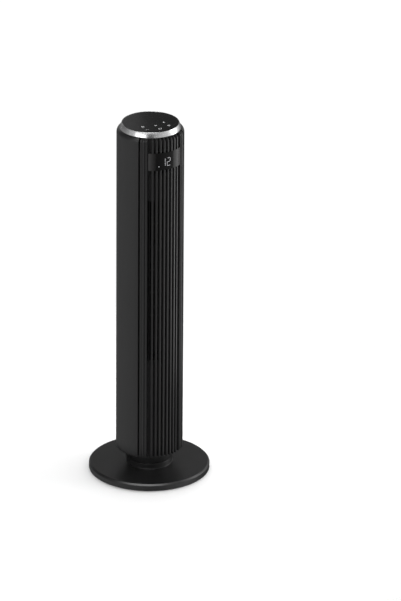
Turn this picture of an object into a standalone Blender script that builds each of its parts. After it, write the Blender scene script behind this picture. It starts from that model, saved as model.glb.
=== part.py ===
"""Tower fan: a tall round column that swings on a weighted round base.

Metres, +Z up. The fan faces -Y, and the origin is on the floor under the column's axis.
A bearing is an angle in degrees about that axis: 0 is the front, 90 is +X, 180 is the back.
"""

import math

import bmesh
import bpy

# Driving dimensions
HEIGHT = 0.920
COLUMN_RADIUS = 0.08275
COLUMN_BOTTOM = 0.0600
BASE_RADIUS = 0.1485
BASE_TOP = 0.0180
GAP = 0.0003  # left between pieces that touch
LARGE_STEPS = 40  # facets round the base and the column's rings
SMALL_STEPS = 24
TINY_STEPS = 12
ROD_TURN = 7.0
FINE_STEP = 3.0  # degrees between the stations of a curved wall
COARSE_STEP = 8.0
DECK_STEP = 9.0
MERGE = 1e-6
CUT_INNER = 0.0720  # radii of the tools that cut the housing's wall
CUT_OUTER = 0.0900
CUT_CLEAR = 0.0010
WALL = 0.0030  # moulded walls of the column
SHEET = 0.0020  # duct sheets inside the column

# Base
FOOT_COUNT = 6
FOOT_RADIUS = 0.0090
FOOT_HEIGHT = 0.0031
FOOT_CHAMFER = 0.0008
FOOT_STEPS = 16
FOOT_CIRCLE = 0.1280
PLATE_BOTTOM = FOOT_HEIGHT + GAP
PLATE_TOP = PLATE_BOTTOM + 0.0025
SKIRT_BOTTOM = 0.0012  # the rim hangs below the plate and hides the feet
BASE_WALL = 0.0025
RIM_REACH = 0.0080  # the rounded rim, inwards and downwards
RIM_MIDDLE_IN = 0.0020
RIM_MIDDLE_DOWN = 0.0035
RIM_INNER_REACH = 0.0085
BOSS_RADIUS = 0.0570
BOSS_TOP = 0.0320
BOSS_BEVEL = 0.0010
BOSS_FLARE = 0.0006
WEIGHT_INNER = 0.0640
WEIGHT_OUTER = 0.1340
WEIGHT_THICKNESS = 0.0060
BASE_SCREW_COUNT = 4
BASE_SCREW_CIRCLE = 0.0580
SCREW_SHANK = 0.0017
SCREW_HOLE = 0.0021
SCREW_HEAD = 0.0034
SCREW_HEAD_HEIGHT = 0.0015
SCREW_BOSS = 0.0042
SCREW_BOSS_BELOW = 0.0008  # under the base's top face
BASE_SCREW_BELOW = 0.0031
GLAND_HEIGHT = 0.0092
GLAND_RADIUS = 0.0045
GLAND_BORE = 0.0032
GLAND_DEPTH = 0.0032  # reaches just inside the rim
GLAND_CUT = 0.0200
GLAND_CUT_TURN = 0.5

# Pivot between the base and the column
POST_RADIUS = 0.0160
POST_BORE = 0.0120
POST_HOLE = 0.0190
POST_BOTTOM = 0.0200
POST_TOP = 0.0880
FLANGE_RADIUS = 0.0300
FLANGE_TOP = BOSS_TOP + GAP + 0.0030
GEAR_MODULE = 0.00125
SUN_TEETH = 36
PINION_TEETH = 12
GEAR_BOTTOM = FLANGE_TOP + GAP
GEAR_TOP = GEAR_BOTTOM + 0.0080
BACKLASH = 0.00025
PRESSURE_ANGLE = 20.0
ADDENDUM = 0.8
DEDENDUM = 1.05
SWING_SHAFT = 0.0025
SWING_SHAFT_TOP = 0.0760
SHAFT_CLEAR = 0.0007
SWING_MOTOR_RADIUS = 0.0140
SWING_MOTOR_HEIGHT = 0.0180
SWING_MOTOR_OFFSET = 0.0085  # its body stands behind its shaft
SWING_MOTOR_BORE = SWING_SHAFT + 0.0004
SWING_MOTOR_BORE_TOP = SWING_SHAFT_TOP + 0.0015
PINION_Y = GEAR_MODULE * (SUN_TEETH + PINION_TEETH) / 2
WASHER_BOTTOM = GEAR_TOP + GAP
WASHER_TOP = WASHER_BOTTOM + 0.0015
HUB_BOTTOM = WASHER_TOP + GAP
HUB_TOP = 0.0800
HUB_RADIUS = 0.0240
HUB_BORE = POST_RADIUS + 0.00008
NUT_RADIUS = 0.0225
NUT_TOP = HUB_TOP + GAP + 0.0060
NECK_BOTTOM = BOSS_TOP + 0.0016
NECK_RADIUS = 0.0600
NECK_TAPER = 0.0010
NECK_WALL = 0.0025

# Column shell
SHELL_BOTTOM = COLUMN_BOTTOM + GAP
CAP_TOP = SHELL_BOTTOM + 0.0035
SHELL_TOP = 0.9072
SHOULDER_START = 0.8955
SHOULDER_RADIUS = 0.0756
SHOULDER_TURN = 65.0
SHOULDER_INSET = 0.0047
EDGE_BEVEL = 0.0012
SEAM_BEARING = 49.2
LIP_BEARING = 50.8
BACKING_BEARING = 53.0
BACKING_OUTER = 0.0735
BACKING_INNER = 0.0705
RIB_RADIUS = 0.0826
RIB_PITCH = 7.08
RIB_HALF = 1.95
RIB_DRAFT = 0.25
RIBS_EACH_SIDE = 4
FRAME_RIB = (33.9, 37.2)  # bearings of the raised bands beside the ribs
FRAME_GROOVE = (37.5, 38.3)
FRAME_BAND = (38.6, 46.25)
BEARING_GAP = 0.3
BEARING_STEP = 0.1
GROOVE_DEPTH = 0.0030
OUTLET_BOTTOM = 0.3170
OUTLET_TOP = 0.7430
OUTLET_BAYS = 7
OUTLET_BEARING = 31.4
GUARD_HEIGHT = 0.0016
GUARD_STILE = 0.0030
INLET_BEARING = 52.0
INLET_BAYS = 3
INLET_SLOTS = 15
INLET_BAR_SHARE = 0.35
INLET_RAIL = 0.0050
SCREW_BEARINGS = (110.0, 180.0, 250.0)
CAP_SCREW_CIRCLE = 0.0765
CAP_BOSS_HEIGHT = 0.0140
CAP_HOLE_HEIGHT = 0.0120
CAP_SCREW_LENGTH = 0.0150
OUTLET_CUT_INNER = 0.0650
OUTLET_CUT_PROUD = 0.0005

# Handle recess at the back
HANDLE_BOTTOM = 0.7755
HANDLE_TOP = 0.8145
HANDLE_BEARING = 26.5
HANDLE_FLOOR = 0.0600
HANDLE_WALL = 0.0025
HANDLE_CUT_OUTER = 0.0950
HANDLE_STEP = 6.0

# Head
WINDOW_BOTTOM = 0.8250
WINDOW_TOP = 0.8700
WINDOW_BEARING = 32.15
WINDOW_OUTER = 0.0825
WINDOW_THICKNESS = 0.0030
WINDOW_POCKET = 0.0769
MODULE_HALF_WIDTH = 0.0190
MODULE_BOTTOM = 0.8325
MODULE_TOP = 0.8625
MODULE_FRONT = 0.0735
MODULE_BACK = 0.0580
MODULE_CUT_BACK = 0.0500
PANEL_RADIUS = 0.0691
PANEL_TOP = 0.9198
PANEL_BOTTOM = 0.9167
RING_BOTTOM_RADIUS = 0.0754
RING_TOP_RADIUS = 0.0702
RING_SKIRT_BOTTOM = 0.9000
RING_SKIRT_CLEAR = 0.0005
TRAY_RADIUS = 0.0656
TRAY_BOTTOM = 0.9080
TRAY_FLOOR = 0.0025
TRAY_WALL = 0.0030
TRAY_CLEAR = 0.0004
TOUCH_BOARD_RADIUS = 0.0615
BOARD_THICKNESS = 0.0016

# Air path
DUCT_FLOOR_TOP = 0.3115
DUCT_CEILING_BOTTOM = 0.7485
DECK_THICKNESS = 0.0030
DECK_CHANGE = BACKING_BEARING + 1.0
DUCT_FLOOR_HOLE = 0.0120
SCROLL_START = 75.0
SCROLL_SWEEP = 120.0
SCROLL_STEPS = 10
SCROLL_CLEAR = 0.0035
SCROLL_GROWTH = 0.0130
OUTLET_EDGE_X = 0.0372  # where the duct sheets meet the outlet
OUTLET_EDGE_Y = -0.0582
TONGUE = ((-0.0780, 0.0090), (-0.0600, 0.0040), (-0.0500, 0.0005), (-0.0466, -0.0040), (-0.0448, -0.0100))
IMPELLER_Y = 0.0120
IMPELLER_RADIUS = 0.0420
IMPELLER_BORE = 0.0310
IMPELLER_BOTTOM = 0.3220
SEGMENTS = 7
SEGMENT_HEIGHT = 0.0595
SEGMENT_DISC = 0.0015
BLADES = 10
BLADE_THICKNESS = 0.0015
BLADE_INSET = 0.0005
BLADE_LEAD = 8.0
END_DISC = 0.0027
HUB_NOSE_LENGTH = 0.0110
HUB_NOSE_ROOT = 0.0090
HUB_NOSE_TIP = 0.0080
SHAFT_RADIUS = 0.0040
SHAFT_FIT = 0.00008
MOTOR_BOTTOM = 0.2500
MOTOR_TOP = 0.2965
MOTOR_RADIUS = 0.0330
COIL_BOTTOM = 0.2580
COIL_TOP = 0.2880
ROTOR_RADIUS = 0.0190
STATOR_INNER = 0.0196
STATOR_OUTER = 0.0296
MOTOR_MOUTH = 0.0080
MOTOR_SHAFT_BELOW = 0.0020
MOTOR_SHAFT_SHORT = 0.0010
MOUNT_INNER = 0.0220
MOUNT_LOW_RADIUS = 0.0330
MOUNT_HIGH_RADIUS = 0.0360
BUSH_RADIUS = 0.0090
BUSH_FLANGE = 0.0130
BUSH_ABOVE = 0.0040
BUSH_BELOW = 0.0010
AXLE_ABOVE = 0.0085
BOARD_FRONT = 0.0580
BOARD_HALF_WIDTH = 0.0350
BOARD_BOTTOM = 0.1100
BOARD_TOP = 0.2000
BOARD_OVERLAP = 0.0005
BOARD_PARTS = {  # (left, right, front, bottom, top)
    "transformer": (-0.0280, -0.0020, 0.0400, 0.1200, 0.1450),
    "capacitor": (0.0080, 0.0220, 0.0430, 0.1250, 0.1600),
    "terminals": (-0.0250, 0.0250, 0.0480, 0.1750, 0.1850),
}

BLACK = (0.012, 0.012, 0.013)
GLOSS_BLACK = (0.006, 0.006, 0.007)
DARK_GREY = (0.06, 0.06, 0.065)
SILVER = (0.62, 0.62, 0.63)
STEEL = (0.45, 0.45, 0.46)
IRON = (0.12, 0.12, 0.13)
WHITE = (0.75, 0.75, 0.73)
GREEN = (0.02, 0.10, 0.045)
RUBBER = (0.015, 0.015, 0.015)
COPPER = (0.45, 0.20, 0.09)
BRONZE = (0.55, 0.38, 0.18)


def clear_scene():
    for old in list(bpy.data.objects):
        bpy.data.objects.remove(old, do_unlink=True)


def material(name, colour, roughness, metallic=0.0):
    made = bpy.data.materials.new(name)
    made.use_nodes = True
    shader = made.node_tree.nodes["Principled BSDF"]
    shader.inputs["Base Color"].default_value = (*colour, 1.0)
    shader.inputs["Roughness"].default_value = roughness
    shader.inputs["Metallic"].default_value = metallic
    return made


def empty(name, location):
    made = bpy.data.objects.new(name, None)
    made.location = location
    bpy.context.collection.objects.link(made)
    return made


def finish(name, mesh_builder, parent=None, location=(0.0, 0.0, 0.0)):
    """Turn a bmesh into a named object whose faces point outwards."""
    bmesh.ops.recalc_face_normals(mesh_builder, faces=mesh_builder.faces)
    if mesh_builder.calc_volume(signed=True) < 0:
        bmesh.ops.reverse_faces(mesh_builder, faces=mesh_builder.faces)
    mesh = bpy.data.meshes.new(name)
    mesh_builder.to_mesh(mesh)
    mesh_builder.free()
    mesh.shade_smooth()
    mesh.set_sharp_from_angle(angle=math.radians(30))
    made = bpy.data.objects.new(name, mesh)
    made.location = location
    made.parent = parent
    bpy.context.collection.objects.link(made)
    return made


def paint(piece, *look):
    piece.data.materials.clear()
    piece.data.materials.append(material(piece.name, *look))
    return piece


def turned(name, profile, parent=None, location=(0.0, 0.0, 0.0), steps=LARGE_STEPS):
    """Spin a closed (radius, height) outline about the vertical axis."""
    builder = bmesh.new()
    corners = [builder.verts.new((radius, 0.0, height)) for radius, height in profile]
    edges = [builder.edges.new((a, b)) for a, b in zip(corners, corners[1:] + corners[:1])
             if a.co.x > 0 or b.co.x > 0]
    bmesh.ops.spin(builder, geom=corners + edges, cent=(0, 0, 0), axis=(0, 0, 1),
                   angle=math.tau, steps=steps, use_merge=True)
    bmesh.ops.remove_doubles(builder, verts=builder.verts, dist=MERGE)
    return finish(name, builder, parent, location)


def around(bearing, radius):
    angle = math.radians(bearing)
    return radius * math.sin(angle), -radius * math.cos(angle)


def swept(name, stations, parent=None):
    """Join (bearing, [(radius, height), ...]) outlines into one body with closed ends."""
    builder = bmesh.new()
    rings = []
    for bearing, outline in stations:
        rings.append([builder.verts.new((*around(bearing, radius), height)) for radius, height in outline])
    count = len(rings[0])
    for first, second in zip(rings, rings[1:]):
        for i in range(count):
            j = (i + 1) % count
            builder.faces.new((first[i], first[j], second[j], second[i]))
    builder.faces.new(rings[0])
    builder.faces.new(rings[-1])
    return finish(name, builder, parent)


def spaced(low, high, step):
    """Bearings from low to high, no further apart than step."""
    count = max(1, math.ceil((high - low) / step))
    return [low + (high - low) * i / count for i in range(count + 1)]


def sector(name, inner, outer, low, high, bottom, top, parent=None, step=FINE_STEP):
    outline = [(inner, bottom), (outer, bottom), (outer, top), (inner, top)]
    return swept(name, [(bearing, outline) for bearing in spaced(low, high, step)], parent)


def prism(name, outline, bottom, top, parent=None, location=(0.0, 0.0, 0.0)):
    """Extrude a closed (x, y) outline upwards."""
    builder = bmesh.new()
    floor = builder.faces.new([builder.verts.new((x, y, bottom)) for x, y in outline])
    grown = bmesh.ops.extrude_face_region(builder, geom=[floor])["geom"]
    raised = [item for item in grown if isinstance(item, bmesh.types.BMVert)]
    bmesh.ops.translate(builder, verts=raised, vec=(0, 0, top - bottom))
    bmesh.ops.triangulate(builder, faces=builder.faces)
    return finish(name, builder, parent, location)


def cylinder(name, radius, bottom, top, parent=None, location=(0.0, 0.0, 0.0), steps=SMALL_STEPS):
    outline = [(0.0, top), (radius, top), (radius, bottom), (0.0, bottom)]
    return turned(name, outline, parent, location, steps)


def rod(radius, bottom, top, place=(0.0, 0.0, 0.0), steps=TINY_STEPS):
    """A round Boolean tool, turned a little so that none of its edges lies along another edge."""
    made = cylinder("rod", radius, bottom, top, location=place, steps=steps)
    made.rotation_euler = (0, 0, math.radians(ROD_TURN))
    return made


def box(name, low, high, parent=None):
    outline = [(low[0], low[1]), (high[0], low[1]), (high[0], high[1]), (low[0], high[1])]
    return prism(name, outline, low[2], high[2], parent)


def triangulate(mesh):
    builder = bmesh.new()
    builder.from_mesh(mesh)
    bmesh.ops.remove_doubles(builder, verts=builder.verts, dist=MERGE)
    bmesh.ops.triangulate(builder, faces=builder.faces)
    builder.to_mesh(mesh)
    builder.free()


def combine(piece, tool, operation):
    """Apply a Boolean and delete its tool."""
    tool.hide_render = True
    tool.display_type = "WIRE"
    modifier = piece.modifiers.new(tool.name, "BOOLEAN")
    modifier.operation = operation
    modifier.solver = "EXACT"
    modifier.object = tool
    bpy.context.view_layer.update()
    result = bpy.data.meshes.new_from_object(piece.evaluated_get(bpy.context.evaluated_depsgraph_get()))
    piece.modifiers.clear()
    piece.data = result
    triangulate(result)
    bpy.data.objects.remove(tool, do_unlink=True)


def cut(piece, tool):
    combine(piece, tool, "DIFFERENCE")


def join(piece, tool):
    combine(piece, tool, "UNION")


def screw(name, location, bottom, shank_top, parent):
    head_top = bottom + SCREW_HEAD_HEIGHT
    outline = [(0.0, shank_top), (SCREW_SHANK, shank_top), (SCREW_SHANK, head_top),
               (SCREW_HEAD, head_top), (SCREW_HEAD, bottom), (0.0, bottom)]
    return paint(turned(name, outline, parent, location, TINY_STEPS), STEEL, 0.35, 1.0)


# Base

def base_cover(body):
    inner = BASE_WALL
    outline = [
        (POST_HOLE, BOSS_TOP), (BOSS_RADIUS - BOSS_BEVEL, BOSS_TOP), (BOSS_RADIUS, BOSS_TOP - BOSS_BEVEL),
        (BOSS_RADIUS + BOSS_FLARE, BASE_TOP), (BASE_RADIUS - RIM_REACH, BASE_TOP),
        (BASE_RADIUS - RIM_MIDDLE_IN, BASE_TOP - RIM_MIDDLE_DOWN), (BASE_RADIUS, BASE_TOP - RIM_REACH),
        (BASE_RADIUS, SKIRT_BOTTOM), (BASE_RADIUS - inner, SKIRT_BOTTOM),
        (BASE_RADIUS - inner, BASE_TOP - RIM_REACH), (BASE_RADIUS - RIM_INNER_REACH, BASE_TOP - inner),
        (BOSS_RADIUS - inner, BASE_TOP - inner), (BOSS_RADIUS - inner, BOSS_TOP - inner),
        (POST_HOLE, BOSS_TOP - inner),
    ]
    cover = turned("base_cover", outline, body)
    for place in base_screw_places():
        join(cover, rod(SCREW_BOSS, PLATE_TOP + GAP, BASE_TOP - SCREW_BOSS_BELOW, place))
        cut(cover, rod(SCREW_HOLE, 0.0, BASE_TOP - inner, place))
    hole = rod(GLAND_RADIUS + GAP, -GLAND_CUT, GLAND_CUT)
    hole.rotation_euler = (math.radians(90), 0, math.radians(GLAND_CUT_TURN))
    hole.location = (0, BASE_RADIUS, GLAND_HEIGHT)
    cut(cover, hole)
    paint(cover, BLACK, 0.40)


def base_screw_places():
    bearings = [45 + 360 * i / BASE_SCREW_COUNT for i in range(BASE_SCREW_COUNT)]
    return [(*around(bearing, BASE_SCREW_CIRCLE), 0.0) for bearing in bearings]


def base_plate(body):
    radius = BASE_RADIUS - BASE_WALL - CUT_CLEAR
    outline = [(POST_HOLE, PLATE_TOP), (radius, PLATE_TOP), (radius, PLATE_BOTTOM),
               (POST_HOLE, PLATE_BOTTOM)]
    plate = turned("base_plate", outline, body)
    for place in base_screw_places():
        cut(plate, rod(SCREW_HOLE, 0.0, BASE_TOP, place))
    paint(plate, BLACK, 0.60)


def base_weight(body):
    low = PLATE_TOP + GAP
    high = low + WEIGHT_THICKNESS
    outline = [(WEIGHT_INNER, high), (WEIGHT_OUTER, high), (WEIGHT_OUTER, low), (WEIGHT_INNER, low)]
    paint(turned("base_weight", outline, body), IRON, 0.55, 1.0)


def base_fasteners(body):
    bottom = PLATE_BOTTOM - GAP - SCREW_HEAD_HEIGHT
    for i, place in enumerate(base_screw_places(), start=1):
        screw(f"base_screw_{i}", place, bottom, BASE_TOP - BASE_SCREW_BELOW, body)


def feet(body):
    outline = [(0.0, FOOT_HEIGHT), (FOOT_RADIUS, FOOT_HEIGHT), (FOOT_RADIUS, FOOT_CHAMFER),
               (FOOT_RADIUS - FOOT_CHAMFER, 0.0), (0.0, 0.0)]
    for i in range(FOOT_COUNT):
        place = (*around(360 * i / FOOT_COUNT, FOOT_CIRCLE), 0.0)
        paint(turned(f"foot_{i + 1}", outline, body, place, FOOT_STEPS), RUBBER, 0.85)


def cord_gland(body):
    """A short rubber bush, flush with the rim."""
    outline = [(GLAND_BORE, -GAP), (GLAND_RADIUS, -GAP), (GLAND_RADIUS, -GLAND_DEPTH),
               (GLAND_BORE, -GLAND_DEPTH)]
    gland = turned("cord_gland", outline, body, (0, BASE_RADIUS, GLAND_HEIGHT), steps=TINY_STEPS)
    gland.rotation_euler = (math.radians(-90), 0, 0)
    paint(gland, RUBBER, 0.70)


def pivot_post(body):
    outline = [
        (POST_BORE, POST_TOP), (POST_RADIUS, POST_TOP), (POST_RADIUS, FLANGE_TOP),
        (FLANGE_RADIUS, FLANGE_TOP), (FLANGE_RADIUS, BOSS_TOP + GAP), (POST_HOLE - GAP, BOSS_TOP + GAP),
        (POST_HOLE - GAP, POST_BOTTOM), (POST_BORE, POST_BOTTOM),
    ]
    paint(turned("pivot_post", outline, body), STEEL, 0.40, 1.0)


def ring(name, outer, bottom, top, body, look):
    """A plain ring round the post."""
    inner = POST_RADIUS + GAP
    outline = [(inner, top), (outer, top), (outer, bottom), (inner, bottom)]
    paint(turned(name, outline, body, steps=SMALL_STEPS), *look)


def involute(angle):
    return math.tan(angle) - angle


def gear_outline(teeth, first_tooth):
    """Points round a spur gear: each tooth has a root, pitch and tip point on either flank."""
    pitch = GEAR_MODULE * teeth / 2
    base = pitch * math.cos(math.radians(PRESSURE_ANGLE))
    half_pitch_angle = (math.pi * GEAR_MODULE / 2 - BACKLASH) / (2 * pitch)
    flank = []
    for radius in (pitch - DEDENDUM * GEAR_MODULE, pitch, pitch + ADDENDUM * GEAR_MODULE):
        slope = math.acos(min(1.0, base / radius))
        flank.append((radius, half_pitch_angle + involute(math.radians(PRESSURE_ANGLE)) - involute(slope)))
    points = []
    for tooth in range(teeth):
        middle = math.radians(first_tooth) + math.tau * tooth / teeth
        for radius, half in flank:
            points.append((radius * math.cos(middle - half), radius * math.sin(middle - half)))
        for radius, half in reversed(flank):
            points.append((radius * math.cos(middle + half), radius * math.sin(middle + half)))
    return points


def sun_gear(body):
    outline = gear_outline(SUN_TEETH, 90 + 180 / SUN_TEETH)
    gear = prism("sun_gear", outline, GEAR_BOTTOM, GEAR_TOP, body)
    cut(gear, rod(POST_RADIUS + GAP, 0.0, HUB_TOP, steps=SMALL_STEPS))
    paint(gear, WHITE, 0.45)


# Swing drive

def drive_pinion(body):
    outline = gear_outline(PINION_TEETH, -90)
    gear = prism("drive_pinion", outline, GEAR_BOTTOM, GEAR_TOP, body)
    cut(gear, rod(SWING_SHAFT + GAP, 0.0, HUB_TOP, (0, PINION_Y, 0)))
    paint(gear, WHITE, 0.45)


def swing_shaft(body):
    shaft = cylinder("swing_shaft", SWING_SHAFT, GEAR_BOTTOM, SWING_SHAFT_TOP, body, steps=TINY_STEPS)
    paint(shaft, STEEL, 0.30, 1.0)


def swing_motor(body):
    bottom = CAP_TOP + GAP
    place = (0, PINION_Y + SWING_MOTOR_OFFSET, 0)
    motor = cylinder("swing_motor", SWING_MOTOR_RADIUS, bottom, bottom + SWING_MOTOR_HEIGHT, body, place)
    cut(motor, rod(SWING_MOTOR_BORE, 0.0, SWING_MOTOR_BORE_TOP, (0, PINION_Y, 0)))
    paint(motor, STEEL, 0.35, 1.0)


# Column shell

def shoulder(start_radius, steps=3):
    """(radius, height) points of the rounded top edge, from the straight wall up to the trim ring."""
    turn = math.radians(SHOULDER_TURN)
    across = (start_radius - SHOULDER_RADIUS) / (1 - math.cos(turn))
    up = (SHELL_TOP - SHOULDER_START) / math.sin(turn)
    points = []
    for i in range(steps + 1):
        angle = turn * i / steps
        points.append((start_radius - across * (1 - math.cos(angle)), SHOULDER_START + up * math.sin(angle)))
    return points


def outer_line(start_radius):
    foot = [(start_radius - EDGE_BEVEL, SHELL_BOTTOM), (start_radius, SHELL_BOTTOM + EDGE_BEVEL)]
    return foot + shoulder(start_radius)


def inner_line(wall_radius, least):
    """(radius, height) points down the inside of the housing, never nearer the axis than least."""
    points = [(least, SHELL_TOP), (least, SHELL_TOP - WALL),
              (wall_radius - SHOULDER_INSET, SHELL_TOP - WALL - GAP), (wall_radius, SHOULDER_START),
              (wall_radius, SHELL_BOTTOM)]
    return [(max(radius, least), height) for radius, height in points]


def main_housing(body):
    wall = COLUMN_RADIUS - WALL
    behind_backing = BACKING_OUTER + GAP
    lip = outer_line(COLUMN_RADIUS) + [(behind_backing, height) for _, height in inner_line(wall, wall)]
    overlap = outer_line(COLUMN_RADIUS) + inner_line(wall, behind_backing)
    plain = outer_line(COLUMN_RADIUS) + inner_line(wall, BACKING_INNER)
    edge = BACKING_BEARING + BEARING_GAP
    start = edge + BEARING_STEP
    half = [(SEAM_BEARING, lip), (LIP_BEARING, lip), (LIP_BEARING + BEARING_STEP, overlap), (edge, overlap),
            (start, plain)]
    middle = [(bearing, plain) for bearing in spaced(start, 360 - start, COARSE_STEP)[1:-1]]
    other = [(360 - bearing, outline) for bearing, outline in reversed(half)]
    housing = swept("main_housing", half + middle + other, body)
    for bearing in SCREW_BEARINGS:
        place = (*around(bearing, CAP_SCREW_CIRCLE), 0.0)
        bottom = CAP_TOP + GAP
        join(housing, rod(SCREW_BOSS, bottom, bottom + CAP_BOSS_HEIGHT, place))
        cut(housing, rod(SCREW_HOLE, 0.0, bottom + CAP_HOLE_HEIGHT, place))
    cut(housing, sector("inlet", CUT_INNER, CUT_OUTER, 180 - INLET_BEARING, 180 + INLET_BEARING,
                        OUTLET_BOTTOM, OUTLET_TOP, step=COARSE_STEP))
    handle_edge = HANDLE_BEARING + BEARING_GAP
    cut(housing, sector("handle", CUT_INNER, CUT_OUTER, 180 - handle_edge, 180 + handle_edge,
                        HANDLE_BOTTOM - GAP, HANDLE_TOP + GAP))
    paint(housing, BLACK, 0.38)


def rib_stations(centre, floor, face):
    return [(centre - RIB_HALF - RIB_DRAFT, floor), (centre - RIB_HALF, face), (centre + RIB_HALF, face),
            (centre + RIB_HALF + RIB_DRAFT, floor)]


def lowered(outline, depth):
    return [(max(radius - depth, BACKING_OUTER), height) for radius, height in outline]


def front_grille(body):
    """Backing wall with standing ribs; the wall is cut away between the ribs over the outlet."""
    back = [(BACKING_INNER, SHELL_TOP), (BACKING_INNER, SHELL_BOTTOM)]
    face_line = outer_line(RIB_RADIUS)
    face = face_line + back
    floor = [(BACKING_OUTER, height) for _, height in face_line] + back
    groove = lowered(face_line, GROOVE_DEPTH) + back
    side = [(FRAME_RIB[0] - RIB_DRAFT, floor), (FRAME_RIB[0], face), (FRAME_RIB[1], face),
            (FRAME_GROOVE[0], groove), (FRAME_GROOVE[1], groove), (FRAME_BAND[0], face),
            (FRAME_BAND[1], face), (FRAME_BAND[1] + RIB_DRAFT, floor), (BACKING_BEARING, floor)]
    stations = [(-bearing, outline) for bearing, outline in reversed(side)]
    for i in range(-RIBS_EACH_SIDE, RIBS_EACH_SIDE):
        stations += rib_stations((i + 0.5) * RIB_PITCH, floor, face)
    stations += side
    grille = swept("front_grille", stations, body)
    cut(grille, sector("outlet", OUTLET_CUT_INNER, BACKING_OUTER + OUTLET_CUT_PROUD, -OUTLET_BEARING,
                       OUTLET_BEARING, OUTLET_BOTTOM, OUTLET_TOP, step=COARSE_STEP))
    pocket_edge = WINDOW_BEARING + BEARING_GAP
    cut(grille, sector("pocket", WINDOW_POCKET, CUT_OUTER, -pocket_edge, pocket_edge,
                       WINDOW_BOTTOM - GAP, WINDOW_TOP + GAP))
    side_gap = MODULE_HALF_WIDTH + CUT_CLEAR
    cut(grille, box("module_hole", (-side_gap, -CUT_OUTER, MODULE_BOTTOM - CUT_CLEAR),
                    (side_gap, -MODULE_CUT_BACK, MODULE_TOP + CUT_CLEAR)))
    paint(grille, BLACK, 0.35)


def lattice(name, inner, outer, bearings, heights, stiles, parent):
    """A curved panel: the columns in stiles and every even row are solid, and the rest is open."""
    builder = bmesh.new()
    corners = {(radius, i, j): builder.verts.new((*around(bearing, radius), height))
               for radius in (inner, outer)
               for i, bearing in enumerate(bearings)
               for j, height in enumerate(heights)}

    def solid(i, j):
        inside = 0 <= i < len(bearings) - 1 and 0 <= j < len(heights) - 1
        return inside and (i in stiles or j % 2 == 0)

    for i in range(len(bearings) - 1):
        for j in range(len(heights) - 1):
            if not solid(i, j):
                continue
            square = [(i, j), (i + 1, j), (i + 1, j + 1), (i, j + 1)]
            builder.faces.new([corners[(outer, *place)] for place in square])
            builder.faces.new([corners[(inner, *place)] for place in reversed(square)])
            beyond = [(i, j - 1), (i + 1, j), (i, j + 1), (i - 1, j)]
            for (a, b), neighbour in zip(zip(square, square[1:] + square[:1]), beyond):
                if not solid(*neighbour):
                    builder.faces.new([corners[(outer, *b)], corners[(outer, *a)],
                                       corners[(inner, *a)], corners[(inner, *b)]])
    return finish(name, builder, parent)


def bars_and_gaps(low, high, gaps, bar):
    """Edges of evenly spaced bars from low to high, with a gap between each pair."""
    pitch = (high - low - bar) / gaps
    edges = [low]
    for i in range(gaps):
        edges += [low + pitch * i + bar, low + pitch * (i + 1)]
    return edges + [high]


def rear_grille(body):
    """Curved inlet panel: upright bars between level rails."""
    edge = math.degrees(GAP / COLUMN_RADIUS)
    low, high = 180 - INLET_BEARING + edge, 180 + INLET_BEARING - edge
    bar = INLET_BAR_SHARE * (high - low) / (INLET_SLOTS + INLET_BAR_SHARE)
    bearings = bars_and_gaps(low, high, INLET_SLOTS, bar)
    heights = bars_and_gaps(OUTLET_BOTTOM + GAP, OUTLET_TOP - GAP, INLET_BAYS, INLET_RAIL)
    stiles = range(0, len(bearings), 2)
    inner, outer = COLUMN_RADIUS - WALL, COLUMN_RADIUS - GAP
    grille = lattice("rear_grille", inner, outer, bearings, heights, stiles, body)
    paint(grille, BLACK, 0.40)


def outlet_guard(body):
    """Finger guard behind the ribs: thin level rails between two stiles."""
    edge = OUTLET_BEARING - math.degrees(GAP / BACKING_OUTER)
    stile = math.degrees(GUARD_STILE / BACKING_OUTER)
    bearings = [-edge] + spaced(stile - edge, edge - stile, COARSE_STEP) + [edge]
    heights = bars_and_gaps(OUTLET_BOTTOM + GAP, OUTLET_TOP - GAP, OUTLET_BAYS, GUARD_HEIGHT)
    stiles = (0, len(bearings) - 2)
    guard = lattice("outlet_guard", BACKING_INNER, BACKING_OUTER - GAP, bearings, heights, stiles, body)
    paint(guard, BLACK, 0.45)


def deck_outline():
    """A round deck that clears the front backing wall and fills the housing behind it."""
    front = BACKING_INNER - GAP
    back = COLUMN_RADIUS - WALL - GAP
    points = [around(bearing, front) for bearing in spaced(-DECK_CHANGE, DECK_CHANGE, DECK_STEP)]
    return points + [around(bearing, back) for bearing in spaced(DECK_CHANGE, 360 - DECK_CHANGE, DECK_STEP)]


def neck_collar(body):
    low_radius = NECK_RADIUS - NECK_TAPER
    outline = [(NECK_RADIUS - NECK_WALL, COLUMN_BOTTOM), (NECK_RADIUS, COLUMN_BOTTOM),
               (low_radius, NECK_BOTTOM), (low_radius - NECK_WALL, NECK_BOTTOM)]
    paint(turned("neck_collar", outline, body), BLACK, 0.45)


def bottom_cap(body):
    cap = prism("bottom_cap", deck_outline(), SHELL_BOTTOM, CAP_TOP, body)
    join(cap, rod(HUB_RADIUS, HUB_BOTTOM, HUB_TOP, steps=LARGE_STEPS))
    cut(cap, rod(HUB_BORE, 0.0, POST_TOP, steps=LARGE_STEPS))
    cut(cap, rod(SWING_SHAFT + SHAFT_CLEAR, 0.0, POST_TOP, (0, PINION_Y, 0)))
    for bearing in SCREW_BEARINGS:
        place = (*around(bearing, CAP_SCREW_CIRCLE), 0.0)
        cut(cap, rod(SCREW_HOLE, 0.0, POST_TOP, place))
    paint(cap, BLACK, 0.50)


def cap_fasteners(body):
    for i, bearing in enumerate(SCREW_BEARINGS, start=1):
        place = (*around(bearing, CAP_SCREW_CIRCLE), 0.0)
        screw(f"cap_screw_{i}", place, COLUMN_BOTTOM - SCREW_HEAD_HEIGHT, COLUMN_BOTTOM + CAP_SCREW_LENGTH,
              body)


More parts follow.
